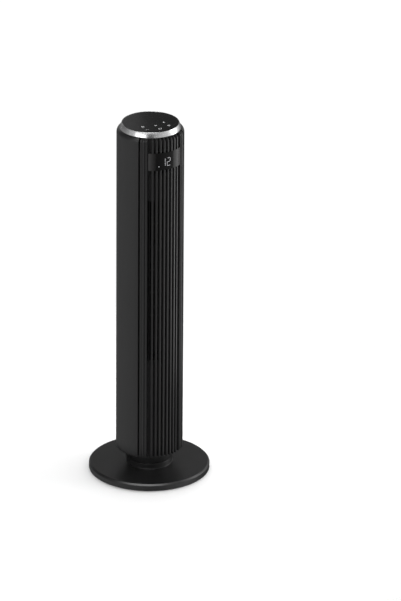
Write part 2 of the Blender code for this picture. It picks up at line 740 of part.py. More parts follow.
def handle_cup(body):
    cup = sector("handle_cup", HANDLE_FLOOR, WINDOW_OUTER, 180 - HANDLE_BEARING, 180 + HANDLE_BEARING,
                 HANDLE_BOTTOM, HANDLE_TOP, body, HANDLE_STEP)
    inset = math.degrees(HANDLE_WALL / COLUMN_RADIUS)
    cut(cup, sector("hollow", HANDLE_FLOOR + HANDLE_WALL, HANDLE_CUT_OUTER, 180 - HANDLE_BEARING + inset,
                    180 + HANDLE_BEARING - inset, HANDLE_BOTTOM + HANDLE_WALL, HANDLE_TOP - HANDLE_WALL,
                    step=HANDLE_STEP))
    paint(cup, BLACK, 0.55)


# Head

def trim_ring(body):
    mouth = PANEL_RADIUS + GAP
    skirt_inner = TRAY_RADIUS + TRAY_CLEAR
    skirt_outer = BACKING_INNER - RING_SKIRT_CLEAR
    outline = [
        (RING_BOTTOM_RADIUS, SHELL_TOP + GAP), (RING_TOP_RADIUS, HEIGHT), (mouth, HEIGHT),
        (mouth, PANEL_BOTTOM - GAP), (skirt_inner, PANEL_BOTTOM - GAP), (skirt_inner, RING_SKIRT_BOTTOM),
        (skirt_outer, RING_SKIRT_BOTTOM), (skirt_outer, SHELL_TOP + GAP),
    ]
    paint(turned("trim_ring", outline, body), SILVER, 0.28, 1.0)


def control_panel(body):
    panel = cylinder("control_panel", PANEL_RADIUS, PANEL_BOTTOM, PANEL_TOP, body, steps=LARGE_STEPS)
    paint(panel, GLOSS_BLACK, 0.12)


def panel_tray(body):
    floor = TRAY_BOTTOM + TRAY_FLOOR
    rim = PANEL_BOTTOM - GAP
    inner = TRAY_RADIUS - TRAY_WALL
    outline = [(0.0, floor), (inner, floor), (inner, rim), (TRAY_RADIUS, rim), (TRAY_RADIUS, TRAY_BOTTOM),
               (0.0, TRAY_BOTTOM)]
    paint(turned("panel_tray", outline, body, steps=SMALL_STEPS), DARK_GREY, 0.60)


def touch_board(body):
    bottom = TRAY_BOTTOM + TRAY_FLOOR + GAP
    paint(cylinder("touch_board", TOUCH_BOARD_RADIUS, bottom, bottom + BOARD_THICKNESS, body), GREEN, 0.45)


def display_window(body):
    window = sector("display_window", WINDOW_OUTER - WINDOW_THICKNESS, WINDOW_OUTER, -WINDOW_BEARING,
                    WINDOW_BEARING, WINDOW_BOTTOM, WINDOW_TOP, body)
    paint(window, GLOSS_BLACK, 0.08)


def display_module(body):
    module = box("display_module", (-MODULE_HALF_WIDTH, -MODULE_FRONT, MODULE_BOTTOM),
                 (MODULE_HALF_WIDTH, -MODULE_BACK, MODULE_TOP), body)
    paint(module, DARK_GREY, 0.50)


# Air path

def deck(name, bottom, hole_radius, body):
    made = prism(name, deck_outline(), bottom, bottom + DECK_THICKNESS, body)
    cut(made, rod(hole_radius, 0.0, HEIGHT, (0, IMPELLER_Y, 0), SMALL_STEPS))
    paint(made, DARK_GREY, 0.60)


def thick_line(points, thickness):
    """Outline of a sheet of this thickness that follows the points."""
    left, right = [], []
    for i, (x, y) in enumerate(points):
        before, after = points[max(i - 1, 0)], points[min(i + 1, len(points) - 1)]
        along = math.hypot(after[0] - before[0], after[1] - before[1])
        across = (-(after[1] - before[1]) / along, (after[0] - before[0]) / along)
        left.append((x + across[0] * thickness / 2, y + across[1] * thickness / 2))
        right.append((x - across[0] * thickness / 2, y - across[1] * thickness / 2))
    return left + right[::-1]


def scroll_wall(body):
    """A spiral guide from the back of the impeller round to the outlet's right edge."""
    points = []
    for i in range(SCROLL_STEPS + 1):
        share = i / SCROLL_STEPS
        angle = math.radians(SCROLL_START - SCROLL_SWEEP * share)
        radius = IMPELLER_RADIUS + SCROLL_CLEAR + SCROLL_GROWTH * share
        points.append((radius * math.cos(angle), IMPELLER_Y + radius * math.sin(angle)))
    points.append((OUTLET_EDGE_X, OUTLET_EDGE_Y))
    outline = thick_line(points, SHEET)
    wall = prism("scroll_wall", outline, DUCT_FLOOR_TOP + GAP, DUCT_CEILING_BOTTOM - GAP, body)
    paint(wall, DARK_GREY, 0.60)


def vortex_tongue(body):
    """A partition from the housing to a nose beside the impeller, then on to the outlet's left edge."""
    outline = thick_line([*TONGUE, (-OUTLET_EDGE_X, OUTLET_EDGE_Y)], SHEET)
    wall = prism("vortex_tongue", outline, DUCT_FLOOR_TOP + GAP, DUCT_CEILING_BOTTOM - GAP, body)
    paint(wall, DARK_GREY, 0.60)


def blade_outline(bearing):
    """A forward-curved blade, as (x, y) points about the impeller's axis."""
    curve = []
    for radius, lead in ((IMPELLER_BORE + BLADE_INSET, 0.0), (IMPELLER_RADIUS - BLADE_INSET, BLADE_LEAD)):
        angle = math.radians(bearing + lead)
        curve.append((radius * math.cos(angle), radius * math.sin(angle)))
    return thick_line(curve, BLADE_THICKNESS)


def impeller_segment_mesh():
    """One ring of blades standing on its disc, from height 0."""
    outline = [(IMPELLER_BORE, SEGMENT_DISC), (IMPELLER_RADIUS, SEGMENT_DISC), (IMPELLER_RADIUS, 0.0),
               (IMPELLER_BORE, 0.0)]
    segment = turned("segment", outline, steps=SMALL_STEPS)
    blades = bmesh.new()
    for i in range(BLADES):
        piece = prism("blade", blade_outline(360 * i / BLADES), SEGMENT_DISC / 2, SEGMENT_HEIGHT - GAP)
        blades.from_mesh(piece.data)
        bpy.data.objects.remove(piece, do_unlink=True)
    join(segment, finish("blades", blades))
    mesh = segment.data
    bpy.data.objects.remove(segment, do_unlink=True)
    return mesh


def impeller_segments(axis):
    mesh = impeller_segment_mesh()
    mesh.materials.append(material("impeller_segment", DARK_GREY, 0.50))
    for i in range(SEGMENTS):
        made = bpy.data.objects.new(f"impeller_segment_{i + 1}", mesh)
        made.parent = axis
        made.location = (0.0, 0.0, IMPELLER_BOTTOM + SEGMENT_HEIGHT * i)
        bpy.context.collection.objects.link(made)


def impeller_hub(axis):
    top = IMPELLER_BOTTOM - GAP
    bore = SHAFT_RADIUS + GAP
    nose = top - HUB_NOSE_LENGTH
    outline = [(bore, top), (IMPELLER_RADIUS, top), (IMPELLER_RADIUS, top - END_DISC),
               (HUB_NOSE_ROOT, top - END_DISC), (HUB_NOSE_TIP, nose), (bore, nose)]
    paint(turned("impeller_hub", outline, axis, steps=SMALL_STEPS), DARK_GREY, 0.50)


def impeller_end_cap(axis):
    low = IMPELLER_BOTTOM + SEGMENT_HEIGHT * SEGMENTS
    high = low + END_DISC
    tip = DUCT_CEILING_BOTTOM + AXLE_ABOVE
    outline = [(0.0, tip), (SHAFT_RADIUS, tip), (SHAFT_RADIUS, high), (IMPELLER_RADIUS, high),
               (IMPELLER_RADIUS, low), (0.0, low)]
    paint(turned("impeller_end_cap", outline, axis, steps=SMALL_STEPS), DARK_GREY, 0.50)


def motor_shaft(axis):
    low, high = MOTOR_BOTTOM - MOTOR_SHAFT_BELOW, IMPELLER_BOTTOM - MOTOR_SHAFT_SHORT
    shaft = cylinder("motor_shaft", SHAFT_RADIUS, low, high, axis)
    paint(shaft, STEEL, 0.25, 1.0)


def motor_rotor(axis):
    bore = SHAFT_RADIUS + GAP
    outline = [(bore, COIL_TOP), (ROTOR_RADIUS, COIL_TOP), (ROTOR_RADIUS, COIL_BOTTOM), (bore, COIL_BOTTOM)]
    paint(turned("motor_rotor", outline, axis, steps=SMALL_STEPS), STEEL, 0.45, 1.0)


def motor_housing(body):
    bore = SHAFT_RADIUS + SHAFT_FIT
    inner = MOTOR_RADIUS - WALL
    outline = [(MOTOR_MOUTH, MOTOR_TOP), (MOTOR_RADIUS, MOTOR_TOP), (MOTOR_RADIUS, MOTOR_BOTTOM),
               (bore, MOTOR_BOTTOM), (bore, MOTOR_BOTTOM + WALL), (inner, MOTOR_BOTTOM + WALL),
               (inner, MOTOR_TOP - WALL), (MOTOR_MOUTH, MOTOR_TOP - WALL)]
    paint(turned("motor_housing", outline, body, (0, IMPELLER_Y, 0), steps=SMALL_STEPS), STEEL, 0.40, 1.0)


def motor_stator(body):
    outline = [(STATOR_INNER, COIL_TOP), (STATOR_OUTER, COIL_TOP), (STATOR_OUTER, COIL_BOTTOM),
               (STATOR_INNER, COIL_BOTTOM)]
    stator = turned("motor_stator", outline, body, (0, IMPELLER_Y, 0), steps=SMALL_STEPS)
    paint(stator, COPPER, 0.45, 1.0)


def motor_mount(body):
    low, high = MOTOR_TOP + GAP, DUCT_FLOOR_TOP - DECK_THICKNESS - GAP
    outline = [(MOUNT_INNER, high), (MOUNT_HIGH_RADIUS, high), (MOUNT_LOW_RADIUS, low), (MOUNT_INNER, low)]
    paint(turned("motor_mount", outline, body, (0, IMPELLER_Y, 0), steps=SMALL_STEPS), RUBBER, 0.80)


def top_bearing(body):
    bore = SHAFT_RADIUS + SHAFT_FIT
    deck_top = DUCT_CEILING_BOTTOM + DECK_THICKNESS
    top = deck_top + BUSH_ABOVE
    bottom = DUCT_CEILING_BOTTOM - BUSH_BELOW
    outline = [(bore, top), (BUSH_FLANGE, top), (BUSH_FLANGE, deck_top + GAP), (BUSH_RADIUS, deck_top + GAP),
               (BUSH_RADIUS, bottom), (bore, bottom)]
    bearing = turned("top_bearing", outline, body, (0, IMPELLER_Y, 0), steps=SMALL_STEPS)
    paint(bearing, BRONZE, 0.40, 1.0)


def power_board(body):
    """Upright circuit board behind the motor, with its transformer, capacitors and terminal block."""
    board = box("power_board", (-BOARD_HALF_WIDTH, BOARD_FRONT, BOARD_BOTTOM),
                (BOARD_HALF_WIDTH, BOARD_FRONT + BOARD_THICKNESS, BOARD_TOP), body)
    for name, (left, right, front, bottom, top) in BOARD_PARTS.items():
        join(board, box(name, (left, front, bottom), (right, BOARD_FRONT + BOARD_OVERLAP, top)))
    paint(board, GREEN, 0.45)


def build():
    clear_scene()
    base = empty("base", (0, 0, 0))
    column = empty("column", (0, 0, COLUMN_BOTTOM))
    column.parent = base
    fixed = empty("column_pieces", (0, 0, -COLUMN_BOTTOM))
    fixed.parent = column
    impeller = empty("impeller", (0, IMPELLER_Y, 0))
    impeller.parent = fixed
    swing_drive = empty("swing_drive", (0, PINION_Y, 0))
    swing_drive.parent = fixed

    for make in (base_cover, base_plate, base_weight, base_fasteners, feet, cord_gland, pivot_post,
                 sun_gear):
        make(base)
    ring("thrust_washer", HUB_RADIUS, WASHER_BOTTOM, WASHER_TOP, base, (WHITE, 0.35))
    ring("lock_nut", NUT_RADIUS, HUB_TOP + GAP, NUT_TOP, base, (STEEL, 0.35, 1.0))

    for make in (neck_collar, bottom_cap, cap_fasteners, main_housing, front_grille, outlet_guard,
                 rear_grille, handle_cup, trim_ring, control_panel, panel_tray, touch_board,
                 display_window, display_module, scroll_wall, vortex_tongue, top_bearing, motor_mount,
                 motor_housing, motor_stator, swing_motor, power_board):
        make(fixed)
    deck("duct_floor", DUCT_FLOOR_TOP - DECK_THICKNESS, DUCT_FLOOR_HOLE, fixed)
    deck("duct_ceiling", DUCT_CEILING_BOTTOM, BUSH_RADIUS + GAP, fixed)

    for make in (impeller_segments, impeller_hub, impeller_end_cap, motor_shaft, motor_rotor):
        make(impeller)
    for make in (drive_pinion, swing_shaft):
        make(swing_drive)


build()
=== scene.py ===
"""Looks of the tower fan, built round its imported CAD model.

Metres, +Z up, the fan faces -Y. A bearing is an angle in degrees about the column's axis:
0 is the front, 90 is +X and 180 is the back.
"""

import math

import bmesh
import bpy
from mathutils import Matrix, Vector

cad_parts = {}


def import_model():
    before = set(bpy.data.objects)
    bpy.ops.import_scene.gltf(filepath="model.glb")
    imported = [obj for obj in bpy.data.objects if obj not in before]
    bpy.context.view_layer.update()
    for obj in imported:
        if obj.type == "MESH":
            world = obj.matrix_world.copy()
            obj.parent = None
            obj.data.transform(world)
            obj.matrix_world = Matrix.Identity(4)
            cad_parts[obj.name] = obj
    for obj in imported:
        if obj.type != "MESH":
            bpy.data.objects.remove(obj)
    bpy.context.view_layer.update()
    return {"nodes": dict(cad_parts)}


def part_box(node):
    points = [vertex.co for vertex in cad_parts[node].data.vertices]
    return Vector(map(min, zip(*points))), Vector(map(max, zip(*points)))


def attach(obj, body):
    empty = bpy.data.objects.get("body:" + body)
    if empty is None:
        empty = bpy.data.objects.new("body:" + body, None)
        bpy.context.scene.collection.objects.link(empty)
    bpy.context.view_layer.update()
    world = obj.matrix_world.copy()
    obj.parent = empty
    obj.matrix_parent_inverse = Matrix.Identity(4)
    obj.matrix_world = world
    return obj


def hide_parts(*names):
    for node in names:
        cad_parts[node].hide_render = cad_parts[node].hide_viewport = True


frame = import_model()
NODES = frame["nodes"]

# Places taken from the frame, in metres
COLUMN_LOW, COLUMN_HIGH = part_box("main_housing")
COLUMN_RADIUS = COLUMN_HIGH.x
SHELL_BOTTOM = COLUMN_LOW.z
SHELL_TOP = COLUMN_HIGH.z
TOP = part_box("trim_ring")[1].z
BASE_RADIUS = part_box("base_cover")[1].x
BASE_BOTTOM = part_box("base_cover")[0].z
BOSS_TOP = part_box("base_cover")[1].z
WINDOW_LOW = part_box("display_window")[0].z
WINDOW_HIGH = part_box("display_window")[1].z
OUTLET_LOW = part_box("outlet_guard")[0].z
OUTLET_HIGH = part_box("outlet_guard")[1].z
INLET_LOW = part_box("rear_grille")[0].z
INLET_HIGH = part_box("rear_grille")[1].z
CUP_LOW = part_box("handle_cup")[0].z
CUP_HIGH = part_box("handle_cup")[1].z
PANEL_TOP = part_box("control_panel")[1].z
PANEL_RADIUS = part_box("control_panel")[1].x

# Column shell: radii and lengths in metres, bearings in degrees
WALL = 0.0030
GAP = 0.0003  # round a part that sits in an opening
SHOULDER_START = 0.8955
SHOULDER_RADIUS = 0.0756
SHOULDER_TURN = 65.0
FOOT_ROUND = 0.0014
SEAM_BEARING = 49.2
CASING_BANDS = [0.14, 0.23, 0.85]  # extra levels that keep the casing's faces short
INLET_BEARING = 52.0
INLET_GAP = 0.22
INLET_BAR_DEPTH = 0.0030  # the inlet bars reach this far inside the casing wall
HANDLE_BEARING = 26.5
HANDLE_GAP = 0.3
HANDLE_WALL = 0.0025
RECESS_FLOOR = 0.0600

# Front grille
RIB_RADIUS = 0.0826
RIB_PITCH = 7.08
RIB_HALF = 1.50
RIB_ROUND = 0.0009
RIB_REACH = 1.5  # the rounding runs this much further across a rib than down its side
RIBS_EACH_SIDE = 4
FLANK_DRAFT = 0.22
GUARD_STILE = 0.0030
BACKING_OUTER = 0.0735
BACKING_INNER = 0.0705
RIB_BACK = BACKING_OUTER - 0.0001  # the ribs over the outlet end just behind the wall's face
BACKING_BEARING = 53.0
BACKING_LAP = 3.0  # the backing wall runs on this far behind the casing
BACKING_GAP = 0.3
FRAME_RIB = (33.75, 37.35)  # first and last bearing of the plain rib at either side
FRAME_RIB_ROUND = 0.0007
FRAME_GROOVE_DEPTH = 0.0030
FRAME_BAND = (38.45, 46.45)  # the wide band beyond it
FRAME_BAND_ROUNDS = (0.0008, 0.0016)
VALLEY_BEARING = 42.6  # shallow valley along the band
VALLEY_DEPTH = 0.00130
VALLEY_SIDE = ((1.6, 0.0), (1.1, 0.00025), (0.6, 0.00085))  # (degrees from the middle, depth)
GRILLE_BANDS = [0.13, 0.22, 0.42, 0.53, 0.64]  # extra levels that keep the ribs' faces short
OUTLET_BEARING = 31.4
EDGE_STEP = 0.00002  # height over which the wall changes at an opening's edge
MODULE_BEARING = 15.6
MODULE_LEVELS = (0.8315, 0.8635)

# Neck, trim ring, panel, window, base and impeller
NECK_WALL = 0.0035
NECK_DRAFT = 0.0010
RING_FOOT = 0.0754
RING_TOP = 0.0702
RING_LIP = 0.0060
RING_BORE = 0.0690
PANEL_ROUND = 0.0006
WINDOW_BEARING = 32.15
WINDOW_RADIUS = 0.0825
WINDOW_THICKNESS = 0.0030
WINDOW_CORNER = 0.0016
WINDOW_POCKET = 0.0769
WINDOW_POCKET_GAP = 0.35
BASE_TOP = 0.0180
BASE_BORE = 0.0190
BASE_WALL = 0.0025
BASE_SKIN = 0.0030
BOSS_RADIUS = 0.0570
BOSS_DRAFT = 0.0004
LONG_SPAN = 0.02  # a longer stretch of the outline is cut in four
RIM_PROUD = 0.0010
RIM_SLOPE = 0.0042  # the rim is bevelled at 45 degrees
IMPELLER_Y = 0.0120
BLADES = 30
BLADE_STEPS = 6
BLADE_THICKNESS = 0.0009
BLADE_SWEEP = 13.0
BLADE_BAND = 0.0110  # radial width of the ring of blades
IMPELLER_SEGMENTS = 7
SEGMENT_TWIST = 6.0
DISC_THICKNESS = 0.0015


# Mesh helpers

def around(bearing, radius):
    """(x, y) at a bearing and a radius."""
    angle = math.radians(bearing)
    return radius * math.sin(angle), -radius * math.cos(angle)


def spaced(low, high, step):
    """Evenly spaced values from low to high, no more than a step apart."""
    count = max(1, math.ceil((high - low) / step - 1e-9))
    return [low + (high - low) * i / count for i in range(count + 1)]


def finish(name, builder, look, body, replaced, sharp=35.0):
    """Turn a bmesh into a piece that rides on a body."""
    bmesh.ops.recalc_face_normals(builder, faces=builder.faces)
    mesh = bpy.data.meshes.new(name)
    builder.to_mesh(mesh)
    builder.free()
    mesh.shade_smooth()
    mesh.set_sharp_from_angle(angle=math.radians(sharp))
    piece = bpy.data.objects.new(name, mesh)
    bpy.context.scene.collection.objects.link(piece)
    mesh.materials.append(look)
    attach(piece, body)
    if replaced:
        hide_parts(*replaced)
    return piece


def bevelled(piece, width, segments, angle=30.0):
    """Round the edges that are sharper than an angle."""
    modifier = piece.modifiers.new("Bevel", "BEVEL")
    modifier.width = width
    modifier.segments = segments
    modifier.limit_method = "ANGLE"
    modifier.angle_limit = math.radians(angle)


def turned_mesh(profile, steps=96, centre=(0.0, 0.0)):
    """A closed (radius, height) outline spun about a vertical axis."""
    builder = bmesh.new()
    rings = []
    for radius, height in profile:
        if radius < 1e-7:
            rings.append([builder.verts.new((centre[0], centre[1], height))])
            continue
        ring = []
        for i in range(steps):
            angle = math.tau * i / steps
            ring.append(builder.verts.new((centre[0] + radius * math.cos(angle),
                                           centre[1] + radius * math.sin(angle), height)))
        rings.append(ring)
    for first, second in zip(rings, rings[1:] + rings[:1]):
        if len(first) == 1 and len(second) == 1:
            continue
        for i in range(steps):
            j = (i + 1) % steps
            corners = [first[i % len(first)], first[j % len(first)],
                       second[j % len(second)], second[i % len(second)]]
            unique = []
            for corner in corners:
                if corner not in unique:
                    unique.append(corner)
            builder.faces.new(unique)
    return builder


def rounded(points, radii, steps=6):
    """An outline whose corners are rounded: one radius for each corner, 0 to leave it sharp."""
    made = []
    count = len(points)
    for i, (point, radius) in enumerate(zip(points, radii)):
        here = Vector(point)
        before = Vector(points[i - 1]) - here
        after = Vector(points[(i + 1) % count]) - here
        if radius <= 0 or before.length < 1e-9 or after.length < 1e-9:
            made.append(tuple(here))
            continue
        half = before.angle(after) / 2
        if abs(half - math.pi / 2) < 1e-3:
            made.append(tuple(here))
            continue
        reach = min(radius / math.tan(half), 0.49 * before.length, 0.49 * after.length)
        used = reach * math.tan(half)
        centre = here + (before.normalized() + after.normalized()).normalized() * (used / math.sin(half))
        start = here + before.normalized() * reach - centre
        end = here + after.normalized() * reach - centre
        turn = math.atan2(start.x * end.y - start.y * end.x, start.dot(end))
        for k in range(steps + 1):
            angle = turn * k / steps
            c, s = math.cos(angle), math.sin(angle)
            made.append((centre.x + start.x * c - start.y * s, centre.y + start.x * s + start.y * c))
    return made


def curved_grid(bearings, levels, outer, inner, solid):
    """A curved wall on a grid of bearings and levels, with openings where solid(i, j) is false.

    outer(i, j) and inner(i, j) give (radius, height) at a grid corner.
    """
    builder = bmesh.new()
    across, up = len(bearings) - 1, len(levels) - 1
    corners = {}

    def corner(side, i, j):
        key = (side, i, j)
        if key not in corners:
            radius, height = (outer if side else inner)(i, j)
            corners[key] = builder.verts.new((*around(bearings[i], radius), height))
        return corners[key]

    def is_solid(i, j):
        return 0 <= i < across and 0 <= j < up and solid(i, j)

    for i in range(across):
        for j in range(up):
            if not is_solid(i, j):
                continue
            square = [(i, j), (i + 1, j), (i + 1, j + 1), (i, j + 1)]
            builder.faces.new([corner(1, *place) for place in square])
            builder.faces.new([corner(0, *place) for place in reversed(square)])
            beyond = [(i, j - 1), (i + 1, j), (i, j + 1), (i - 1, j)]
            for (a, b), neighbour in zip(zip(square, square[1:] + square[:1]), beyond):
                if not is_solid(*neighbour):
                    builder.faces.new([corner(1, *b), corner(1, *a), corner(0, *a), corner(0, *b)])
    return builder


def ribbon(points, width, thickness, place, closed=False):
    """A thin flat stroke along (u, v) points; place(u, v, w) puts it on a surface."""
    builder = bmesh.new()
    count = len(points)
    rows = []
    for i, point in enumerate(points):
        here = Vector(point)
        before = Vector(points[i - 1] if closed or i else points[i])
        after = Vector(points[(i + 1) % count] if closed or i < count - 1 else points[i])
        along = (after - before).normalized()
        across = Vector((-along.y, along.x)) * width / 2
        row = []
        for side, w in ((1, 0.0), (-1, 0.0), (-1, thickness), (1, thickness)):
            spot = here + across * side
            row.append(builder.verts.new(place(spot.x, spot.y, w)))
        rows.append(row)
    pairs = list(zip(rows, rows[1:])) + ([(rows[-1], rows[0])] if closed else [])
    for first, second in pairs:
        for k in range(4):
            builder.faces.new((first[k], first[(k + 1) % 4], second[(k + 1) % 4], second[k]))
    if not closed:
        builder.faces.new(rows[0])
        builder.faces.new(rows[-1])
    return builder


def merged(builders):
    """One bmesh out of several."""
    whole = bmesh.new()
    for builder in builders:
        holder = bpy.data.meshes.new("holder")
        builder.to_mesh(holder)
        builder.free()
        whole.from_mesh(holder)
        bpy.data.meshes.remove(holder)
    return whole


def arc_points(centre, radius, low, high, steps):
    """(u, v) points along an arc, with its ends in degrees."""
    return [(centre[0] + radius * math.cos(math.radians(low + (high - low) * i / steps)),
             centre[1] + radius * math.sin(math.radians(low + (high - low) * i / steps)))
            for i in range(steps + 1)]


# Materials

def add_node(tree, kind, inputs, **settings):
    """Add a shader node. Inputs are numbers, colours or the sockets that feed it, by name or number."""
    node = tree.nodes.new("ShaderNode" + kind)
    for key, value in settings.items():
        setattr(node, key, value)
    for key, value in inputs.items():
        if isinstance(value, bpy.types.NodeSocket):
            tree.links.new(value, node.inputs[key])
        else:
            node.inputs[key].default_value = value
    return node


def arithmetic(tree, operation, *values):
    return add_node(tree, "Math", dict(enumerate(values)), operation=operation).outputs["Value"]


def map_range(tree, value, before, after, **settings):
    """A value mapped from the range before to the range after."""
    inputs = {"Value": value, "From Min": before[0], "From Max": before[1]}
    inputs |= {"To Min": after[0], "To Max": after[1]}
    return add_node(tree, "MapRange", inputs, **settings).outputs["Result"]


class Look:
    """A node material with small helpers to build its pattern."""

    def __init__(self, name, roughness, metallic=0.0, ior=1.45):
        self.material = bpy.data.materials.new(name)
        self.material.use_nodes = True
        self.tree = self.material.node_tree
        self.shader = self.tree.nodes["Principled BSDF"].inputs
        self.shader["Roughness"].default_value = roughness
        self.shader["Metallic"].default_value = metallic
        self.shader["IOR"].default_value = ior
        self.place = add_node(self.tree, "TexCoord", {}).outputs["Object"]

    def link(self, source, name):
        self.tree.links.new(source, self.shader[name])

    def split(self):
        return add_node(self.tree, "SeparateXYZ", {"Vector": self.place}).outputs

    def noise(self, scale, detail=3.0, stretch=(1.0, 1.0, 1.0)):
        place = add_node(self.tree, "Mapping", {"Vector": self.place, "Scale": stretch}).outputs["Vector"]
        inputs = {"Vector": place, "Scale": scale, "Detail": detail}
        return add_node(self.tree, "TexNoise", inputs).outputs["Fac"]

    def colours(self, source, first, second, low=0.3, high=0.7):
        ramp = add_node(self.tree, "ValToRGB", {"Fac": source})
        for element, position, colour in zip(ramp.color_ramp.elements, (low, high), (first, second)):
            element.position = position
            element.color = (*colour, 1.0)
        self.link(ramp.outputs["Color"], "Base Color")

    def bump(self, source, strength, distance):
        inputs = {"Height": source, "Strength": strength, "Distance": distance}
        self.link(add_node(self.tree, "Bump", inputs).outputs["Normal"], "Normal")

    def rough(self, source, low, high, from_low=0.25, from_high=0.75):
        self.link(map_range(self.tree, source, (from_low, from_high), (low, high)), "Roughness")


GLOSS_SPREAD = 0.04
SLOW_SCALE = 14.0
SLOW_STRETCH = (1.0, 1.0, 0.35)  # slow changes run further up and down than across
GRAIN_SCALE = 2600.0
GRAIN_STRENGTH = 0.12
GRAIN_DEPTH = 0.00002


def moulded(name, dark, light, roughness, grain=GRAIN_SCALE, relief=GRAIN_DEPTH, ior=1.45):
    """Moulded plastic: a fine spark-eroded grain, and slow changes in gloss and colour."""
    look = Look(name, roughness, ior=ior)
    slow = look.noise(SLOW_SCALE, 3.0, SLOW_STRETCH)
    look.colours(slow, dark, light)
    look.rough(slow, roughness - GLOSS_SPREAD, roughness + GLOSS_SPREAD)
    look.bump(look.noise(grain, 1.0), GRAIN_STRENGTH, relief)
    return look.material


GROOVE_SHADE_DEEPEST = 0.0026  # depth below the rib faces where the painted groove shade is darkest
GROOVE_SHADE_START = 0.0004  # and where the painted shade starts, as light as on the faces


def grille_look():
    """Satin on the faces of the ribs, matt down in the grooves, with painted shade that darkens the colour
    down into the grooves.
    """
    look = Look("grille_black_plastic_groove_shade", 0.30)
    split = look.split()
    flat = add_node(look.tree, "CombineXYZ", {"X": split["X"], "Y": split["Y"]}).outputs["Vector"]
    radius = add_node(look.tree, "VectorMath", {0: flat}, operation="LENGTH").outputs["Value"]
    # painted shade: the colour darkens with depth below the rib faces, with a little random tone on top
    face = map_range(look.tree, radius, (RIB_RADIUS - GROOVE_SHADE_DEEPEST, RIB_RADIUS - GROOVE_SHADE_START), (0.0, 0.9))
    level = arithmetic(look.tree, "MULTIPLY_ADD", look.noise(SLOW_SCALE, 3.0, SLOW_STRETCH), 0.1, face)
    look.colours(level, (0.0008, 0.0008, 0.0009), (0.0052, 0.0052, 0.0054), 0.05, 0.95)
    look.rough(level, 0.90, 0.29, 0.05, 0.95)
    look.bump(look.noise(GRAIN_SCALE, 1.0), GRAIN_STRENGTH, GRAIN_DEPTH)
    return look.material


def gloss_panel_look():
    """Polished black panel with very fine polishing haze."""
    look = Look("gloss_black_panel", 0.22, ior=1.15)
    slow = look.noise(30.0, 4.0)
    look.colours(slow, (0.0010, 0.0010, 0.0011), (0.0018, 0.0018, 0.0019))
    look.rough(slow, 0.19, 0.25)
    look.bump(look.noise(45.0, 2.0), 0.05, 0.00004)
    return look.material


REFLECTION_EDGES = (0.0270, 0.0440)  # metres to either side where the painted reflection starts and is lightest


def window_look():
    """Smoked display cover: black over the display, with a painted reflection that lightens the colour
    towards either end.
    """
    look = Look("smoked_window", 0.16, ior=1.22)
    smoke = look.noise(160.0, 3.0)
    across = arithmetic(look.tree, "ABSOLUTE", look.split()["X"])
    uneven = arithmetic(look.tree, "MULTIPLY_ADD", smoke, 0.003, across)
    # painted reflection: the colour lightens from the middle towards either end of the window
    level = map_range(look.tree, uneven, REFLECTION_EDGES, (0.0, 1.0))
    look.colours(level, (0.0012, 0.0011, 0.0011), (0.0440, 0.0430, 0.0430), 0.0, 1.0)
    look.rough(smoke, 0.12, 0.20)
    look.bump(look.noise(60.0, 2.0), 0.04, 0.00003)
    return look.material


def brushed_silver_look():
    """Silver trim brushed across its slope, so the streaks run up and down."""
    look = Look("brushed_silver_trim", 0.24, metallic=1.0)
    split = look.split()
    turn = arithmetic(look.tree, "ARCTAN2", split["Y"], split["X"])
    place = add_node(look.tree, "CombineXYZ", {"X": turn, "Z": split["Z"]}).outputs["Vector"]
    inputs = {"Vector": place, "Scale": 60.0, "Detail": 5.0, "Roughness": 0.7}
    streak = add_node(look.tree, "TexNoise", inputs).outputs["Fac"]
    look.colours(streak, (0.50, 0.50, 0.51), (0.72, 0.72, 0.72), 0.32, 0.68)
    look.rough(streak, 0.16, 0.28)
    look.bump(streak, 0.10, 0.00003)
    return look.material


def metal_look(name, dark, light, roughness, stretch=(1.0, 1.0, 0.08)):
    """Machined metal with fine turning lines."""
    look = Look(name, roughness, metallic=1.0)
    lines = look.noise(700.0, 3.0, stretch)
    look.colours(lines, dark, light)
    look.rough(lines, roughness - 0.08, roughness + 0.10)
    look.bump(lines, 0.10, 0.00002)
    return look.material


def board_look():
    """Circuit board with lighter tracks under a green mask."""
    look = Look("circuit_board", 0.40)
    cells = add_node(look.tree, "TexVoronoi", {"Vector": look.place, "Scale": 260.0}, distance="MANHATTAN",
                     feature="DISTANCE_TO_EDGE").outputs["Distance"]
    look.colours(cells, (0.030, 0.150, 0.070), (0.008, 0.052, 0.026), 0.02, 0.12)
    look.bump(cells, 0.2, 0.00004)
    return look.material


def winding_look():
    """Copper wire wound round the stator."""
    look = Look("copper_winding", 0.38, metallic=1.0)
    inputs = {"Vector": look.place, "Scale": 320.0, "Distortion": 1.5}
    wave = add_node(look.tree, "TexWave", inputs, bands_direction="Z").outputs["Fac"]
    look.colours(wave, (0.28, 0.10, 0.04), (0.62, 0.28, 0.13), 0.2, 0.8)
    look.bump(wave, 0.5, 0.0002)
    return look.material


def glyph_look(name, dark, light, glow):
    """Printed or lit marking: soft white with a little unevenness."""
    look = Look(name, 0.45)
    slow = look.noise(240.0, 2.0)
    look.colours(slow, dark, light)
    look.shader["Emission Color"].default_value = (*light, 1.0)
    look.shader["Emission Strength"].default_value = glow
    look.rough(slow, 0.38, 0.52)
    return look.material


